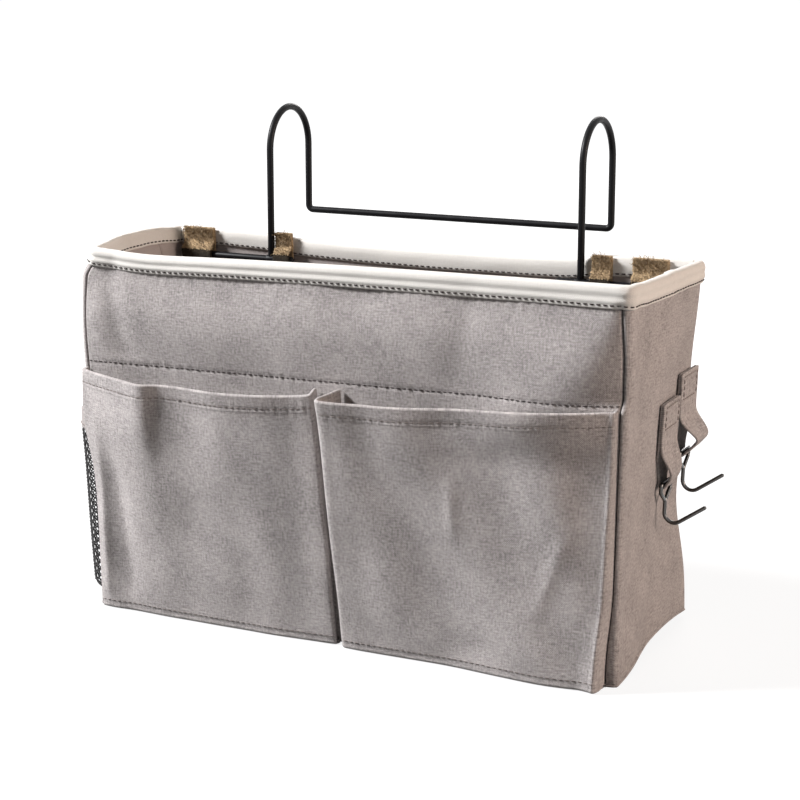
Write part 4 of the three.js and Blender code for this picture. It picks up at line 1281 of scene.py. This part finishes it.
def add_mesh_pocket():
    net = tubes_mesh("mesh_pocket_net", net_strands(), NET_STRAND, 5, yarn)
    cut = NET_LENGTH, net_high[2] - net_low[2]
    lay_sheet(net, "mesh", cut, "stretched", ["left_panel_cloth", "mesh_pocket_elastic"], "mesh_pocket")

    gathers = wrinkles(SEED + 6, 8, 3, 9)

    def band_surface(s, z):
        points = net_surface(s, z)
        points[..., 0] -= BAND_OFF_NET + BAND_RIPPLE * gathers(s, z * 0.1)
        return points

    along = np.linspace(0, NET_LENGTH, 150)
    heights = np.linspace(band_low[2] - BAND_BELOW_NODE, band_high[2], 12)
    band = sheet_from("mesh_pocket_elastic", band_surface, along, heights, BAND, elastic)
    cut = NET_LENGTH * BAND_GATHER, heights[-1] - heights[0]
    lay_sheet(band, "canvas", cut, "gathered", ["left_panel_cloth"], "mesh_pocket_band")
    sew("mesh_band_stitches", band_surface, along, band_low[2] + 1.0, grey_thread, pitch=3.0)

    for name, end in (("rear", 1), ("front", -1)):

        def edging_surface(u, z):
            y = end * (NET_HALF + EDGING_PAST_NET) - u
            crown = EDGING_CROWN * np.cos(u / EDGING_HALF_WIDTH * math.pi / 2)
            return slump(stack(-half_length(z) - 0.5 - crown, y, z))

        us = np.linspace(-EDGING_HALF_WIDTH, EDGING_HALF_WIDTH, 12)
        vs = np.linspace(WALL_BOTTOM + 1, band_high[2] + 1, 60)
        strip = sheet_from(f"mesh_pocket_{name}_edging", edging_surface, us, vs, EDGING, elastic)
        lay_sheet(strip, "canvas", (2 * EDGING_HALF_WIDTH, vs[-1] - vs[0]), "stretched", ["left_panel_cloth"])
        sewn = np.linspace(vs[0] + 2, vs[-1] - 2, 60)
        sew(f"mesh_{name}_edging_stitches", edging_surface, 0, sewn, grey_thread, pitch=3.2)


# Hook straps and wire hooks on the right side


def on_right_face(bar, out, y, up):
    """Points given out from, along and up the right panel's face at a hook's eye bar."""
    lean = math.atan(END_SLOPE)
    away = out - STRAP_BAR_OUT
    x = bar[0] + away * math.cos(lean) + up * math.sin(lean)
    z = bar[2] - away * math.sin(lean) + up * math.cos(lean)
    return stack(x, bar[1] + y, z)


def strap_surface(bar, belly, path_count=90):
    """A strap folded into a loop: u down its back, round the eye bar and up its front."""
    down = [(STRAP_OFF_PANEL, up) for up in STRAP_BACK_HEIGHTS]
    fold = [
        (STRAP_BAR_OUT + STRAP_FOLD * math.cos(a), STRAP_FOLD * math.sin(a)) for a in STRAP_FOLD_ANGLES
    ]
    up_front = [(out + belly * share, up) for out, share, up in STRAP_FRONT]
    path = spline(down + fold + up_front, path_count)
    share = np.linspace(0, 1, path_count)

    def surface(u, v):
        out, up = read_off(u, share, path)
        half = lerp(STRAP_TIP_HALF_WIDTH, STRAP_HALF_WIDTH, smooth(up, 1, STRAP_PINCH + 2))
        out = out + 0.5 * smooth(u, 0.55, 0.7) * v**2 * smooth(STRAP_PINCH + 2 - up, 0, 12)
        points = on_right_face(bar, out, -v * half, up)
        sewn = smooth(up, STRAP_PINCH - 8, STRAP_PINCH + 4)[..., None]
        return lerp(points, slump(points), sewn)

    return surface


def strap_box():
    """Places of the stitched box that holds a strap's two layers to the panel."""
    low, high, side = 0.865, 0.985, 0.8
    corners = np.array([(low, -side), (high, -side), (high, side), (low, side), (low, -side)])
    return np.concatenate([np.linspace(a, b, 12, endpoint=False) for a, b in zip(corners, corners[1:])])


def hook_path(bar):
    foot_drop = HOOK_BEND * math.tan((math.pi / 2 + HOOK_TIP_RISE) / 2)
    foot = HOOK_APEX - HOOK_SHANK - foot_drop
    reach = foot_drop + HOOK_TIP
    tip = (math.cos(HOOK_TIP_RISE) * reach, 0, foot + math.sin(HOOK_TIP_RISE) * reach)
    corners = [
        tip, (0, 0, foot), (0, HOOK_SHANK_ASIDE, HOOK_APEX),
        (0, HOOK_BAR_HALF, HOOK_SHOULDER), (0, HOOK_BAR_HALF, 0),
        (0, -HOOK_BAR_HALF, 0), (0, -HOOK_BAR_HALF, HOOK_SHOULDER),
        (0, HOOK_END_ASIDE, HOOK_APEX + HOOK_END_ABOVE),
    ]
    path = np.array(bent_path(corners, [HOOK_BEND, *HOOK_EYE_BENDS], 10))
    return on_right_face(bar, path[:, 0] + STRAP_BAR_OUT, path[:, 1], path[:, 2])


def add_hook_straps():
    us, vs = np.linspace(0, 1, 110), np.linspace(-1, 1, 21)
    box_us, box_vs = strap_box().T
    for name, belly in STRAP_BELLY.items():
        bar = joint_at[f"hook_{name}_swing"]
        surface = strap_surface(bar, belly)
        strap = sheet_from(f"hook_strap_{name}_webbing", surface, us, vs, STRAP, canvas)
        cut = 2 * STRAP_HALF_WIDTH, 2 * STRAP_TOP + STRAP_SEAM
        lay_sheet(strap, "canvas", cut, "folded", ["right_panel_cloth"], f"hook_strap_{name}")
        sew(f"hook_strap_{name}_stitches", surface, box_us, box_vs, grey_thread)
        hook = tubes_mesh(f"hook_{name}_wire", [hook_path(bar)], HOOK_WIRE / 2, 16, plated)
        dress(hook, f"{name}_hook", "plated", f"hook_{name}")


# Rail hanger and the tabs that hold its feet


def add_hanger():
    """A bent wire with two hooks and a rear bar, welded to two straight feet."""
    _, foot_y, foot_z = joint_at["hanger_tilt"]
    rear = hanger_high[1] - WIRE / 2
    arch = (rear - foot_y) / 2
    springing = hanger_high[2] - WIRE / 2 - arch
    turn = np.linspace(0, math.pi, 33)
    crest = stack(0, foot_y + arch * (1 - np.cos(turn)), springing + arch * np.sin(turn))
    left_hook = crest + [HANGER_LEFT_LEG, 0, 0]
    right_hook = crest[::-1] + [HANGER_RIGHT_LEG, 0, 0]
    rear_bar = bent_path(
        [
            left_hook[-1], (HANGER_LEFT_LEG, rear, HANGER_BAR), (HANGER_RIGHT_LEG, rear, HANGER_BAR),
            right_hook[0],
        ],
        [HANGER_BEND, HANGER_BEND], 10,
    )

    def on_foot(*places):
        return [(x, foot_y, foot_z) for x in places]

    bent = np.concatenate([
        on_foot(HANGER_LEFT_LEG), left_hook[:-1], rear_bar, right_hook[1:], on_foot(HANGER_RIGHT_LEG),
    ])
    left_foot = on_foot(hanger_low[0] + WIRE / 2, HANGER_LEFT_LEG, HANGER_LEFT_LEG + HANGER_FOOT_STUB)
    right_foot = on_foot(HANGER_RIGHT_LEG - HANGER_FOOT_STUB, HANGER_RIGHT_LEG, hanger_high[0] - WIRE / 2)
    hanger = tubes_mesh("hanger_wire", [bent, left_foot, right_foot], WIRE / 2, 20, black_wire)
    dress(hanger, "rail_hanger", "wire", "hanger")
    welds = [
        on_foot(leg - WELD_HALF_LENGTH, leg, leg + WELD_HALF_LENGTH)
        for leg in (HANGER_LEFT_LEG, HANGER_RIGHT_LEG)
    ]
    beads = tubes_mesh("hanger_welds", welds, WELD_RADIUS, 20, black_wire)
    dress(beads, "rail_hanger", "wire")


TAB_DOWN = [(TAB_FOLD, up) for up in (TAB_TOP, 11, 7, 3)]
TAB_ROUND = [
    (TAB_FOLD * math.cos(a), TAB_FOLD * math.sin(a)) for a in np.radians([-15, -50, -90, -130, -165])
]
TAB_CLOSE = [(-3.3, 2.2), (-1.3, 5.6), (0.75, TAB_CLOSED), (0.8, 11), (0.8, TAB_TOP)]
TAB_PATH = spline(TAB_DOWN + TAB_ROUND + TAB_CLOSE, 80)


def tab_surface(centre, width):
    """A tab looped under the hanger's foot: u down the wall, round the wire and up its front."""
    share = np.linspace(0, 1, len(TAB_PATH))
    lean = math.atan(FACE_SLOPE)

    def surface(u, v):
        back, up = read_off(u, share, TAB_PATH)
        y = centre[1] + back * math.cos(lean) - up * math.sin(lean)
        z = centre[2] + back * math.sin(lean) + up * math.cos(lean)
        return stack(centre[0] - v * width / 2, y, z)

    return surface


def fibres(outside, normals, random, count, longest, upward):
    """Short bent loops of yarn standing out of a tab's face."""
    rows, columns = outside.shape[:2]
    paths = []
    for _ in range(count):
        i, j = random.integers(rows), random.integers(columns)
        lean = unit(normals[i, j] + random.normal(0, LOOP_SPREAD, 3) + [0, 0, upward])
        length = random.uniform(LOOP_SHORTEST, 1) * longest
        bend = random.normal(0, LOOP_BEND, 3)
        root = outside[i, j] - normals[i, j] * LOOP_ROOT
        paths.append([root, root + lean * length * 0.5, root + (lean + bend) * length])
    return paths


def add_tabs():
    random = np.random.default_rng(SEED)
    foot = joint_at["hanger_tilt"]
    for place in ("left_corner", "left_leg", "right_leg", "right_corner"):
        name = f"hanger_tab_{place}"
        low, high = box_mm(name)
        width = high[0] - low[0]
        surface = tab_surface(((low[0] + high[0]) / 2, foot[1], foot[2]), width)
        u, v = np.meshgrid(np.linspace(0, 1, 70), np.linspace(-1, 1, 32), indexing="ij")
        outside = surface(u, v)
        normals = grid_normals(outside)
        nap = random.uniform(*TAB_NAP, u.shape) * smooth(u, *TAB_FRONT)
        outside = outside + normals * nap[..., None]
        tab = sheet_mesh(f"{name}_tape", outside, TAB, fuzz)
        cut = width, arc_length(TAB_PATH)[-1]
        lay_sheet(tab, "tab", cut, "folded", ["rim_binding_tape"], name)
        loops = []
        for rows, density, longest, lift in (
            (TAB_FACE_ROWS, NAP_LOOPS_PER_MM, NAP_LOOP_LENGTH, 0.0),
            (TAB_TOP_ROWS, TOP_LOOPS_PER_MM, TOP_LOOP_LENGTH, TOP_LOOP_LIFT),
        ):
            loops += fibres(outside[rows], normals[rows], random, int(density * width), longest, lift)
        dress(tubes_mesh(f"{name}_loops", loops, LOOP_RADIUS, 3, loop_yarn), "bag", "tab")


# Studio, in metres

CAMERA_EYE = (0.50276, -1.04039, 0.38836)
CAMERA_TARGET = (0.0103, 0.0, 0.1241)
CAMERA_LENS = 94.4
CAMERA_SENSOR = 36

# Lamps: rows of name, place, size, power and colour
LAMP_TARGET = (0, 0, 0.1)
LAMPS = [
    ("key", (-2.1, -0.95, 1.85), 0.6, 196, (0.985, 0.985, 1.0)),
    ("right_fill", (1.9, 0.1, 0.65), 1.0, 31, (1.0, 0.82, 0.71)),
    ("back", (-0.4, 2.2, 1.0), 1.0, 22, (1.0, 0.97, 0.95)),
    ("front", (0.9, -2.2, 0.9), 1.2, 2, (1.0, 0.97, 0.95)),
]

WORLD_LIGHT = 0.08
FLOOR_COLOUR = 0.18
FLOOR_GLOW_NEAR = 0.86
FLOOR_GLOW_FAR = 1.0
FLOOR_NEAR = 0.25
FLOOR_FAR = 0.75
FLOOR_REACH = 12.0


def add_aimed(name, data, place, target):
    made = bpy.data.objects.new(name, data)
    made.location = place
    made.rotation_euler = (Vector(target) - Vector(place)).to_track_quat("-Z", "Y").to_euler()
    bpy.context.scene.collection.objects.link(made)
    return made


def add_camera():
    data = bpy.data.cameras.new("camera")
    data.lens = CAMERA_LENS
    data.sensor_width = CAMERA_SENSOR
    bpy.context.scene.camera = add_aimed("camera", data, CAMERA_EYE, CAMERA_TARGET)


def add_lamps():
    for name, place, size, power, colour in LAMPS:
        data = bpy.data.lights.new(name, "AREA")
        data.shape = "DISK"
        data.size = size
        data.energy = power
        data.color = colour
        add_aimed(name, data, place, LAMP_TARGET)


def white_to_view(tree):
    """1 where the camera, a reflection or a clear part looks, 0 for light that falls on the object."""
    path = node(tree, "ShaderNodeLightPath")
    seen = math_node(tree, "ADD", path.outputs["Is Camera Ray"], path.outputs["Is Glossy Ray"])
    seen = math_node(tree, "ADD", seen, path.outputs["Is Transmission Ray"])
    return math_node(tree, "MINIMUM", seen, 1.0)


def add_world():
    world = bpy.data.worlds.new("studio")
    world.use_nodes = True
    tree = world.node_tree
    sky = tree.nodes["Background"]
    sky.inputs["Color"].default_value = (1, 1, 1, 1)
    seen = white_to_view(tree)
    light = math_node(tree, "ADD", math_node(tree, "MULTIPLY", seen, 1 - WORLD_LIGHT), WORLD_LIGHT)
    tree.links.new(light, sky.inputs["Strength"])
    bpy.context.scene.world = world


def add_floor():
    """A pale floor that looks white, and darker only where the object shades it."""
    corners = [(-1, -1), (1, -1), (1, 1), (-1, 1)]
    mesh = bpy.data.meshes.new("floor")
    mesh.from_pydata([(x * FLOOR_REACH, y * FLOOR_REACH, 0) for x, y in corners], [], [(0, 1, 2, 3)])
    floor = bpy.data.objects.new("floor", mesh)
    bpy.context.scene.collection.objects.link(floor)
    paint = bpy.data.materials.new("pale_floor")
    paint.use_nodes = True
    tree = paint.node_tree
    tree.nodes.clear()
    matt = node(tree, "ShaderNodeBsdfDiffuse", {"Color": (FLOOR_COLOUR, FLOOR_COLOUR, FLOOR_COLOUR, 1)})
    length = node(tree, "ShaderNodeVectorMath", {0: object_place(tree)}, operation="LENGTH")
    glow_level = node(tree, "ShaderNodeMapRange", {
        "Value": length.outputs["Value"], "From Min": FLOOR_NEAR, "From Max": FLOOR_FAR,
        "To Min": FLOOR_GLOW_NEAR, "To Max": FLOOR_GLOW_FAR,
    }).outputs["Result"]
    glow_strength = math_node(tree, "MULTIPLY", white_to_view(tree), glow_level)
    glow = node(tree, "ShaderNodeEmission", {"Color": (1, 1, 1, 1), "Strength": glow_strength})
    both = node(tree, "ShaderNodeAddShader", {0: matt.outputs[0], 1: glow.outputs[0]})
    node(tree, "ShaderNodeOutputMaterial", {"Surface": both.outputs[0]})
    mesh.materials.append(paint)


bpy.context.scene.view_settings.view_transform = "Standard"
add_panels()
add_floor_layers()
add_wall_boards()
add_lining()
add_binding()
add_pockets()
add_front_line()
add_mesh_pocket()
add_hook_straps()
add_hanger()
add_tabs()
add_world()
add_floor()
add_lamps()
add_camera()
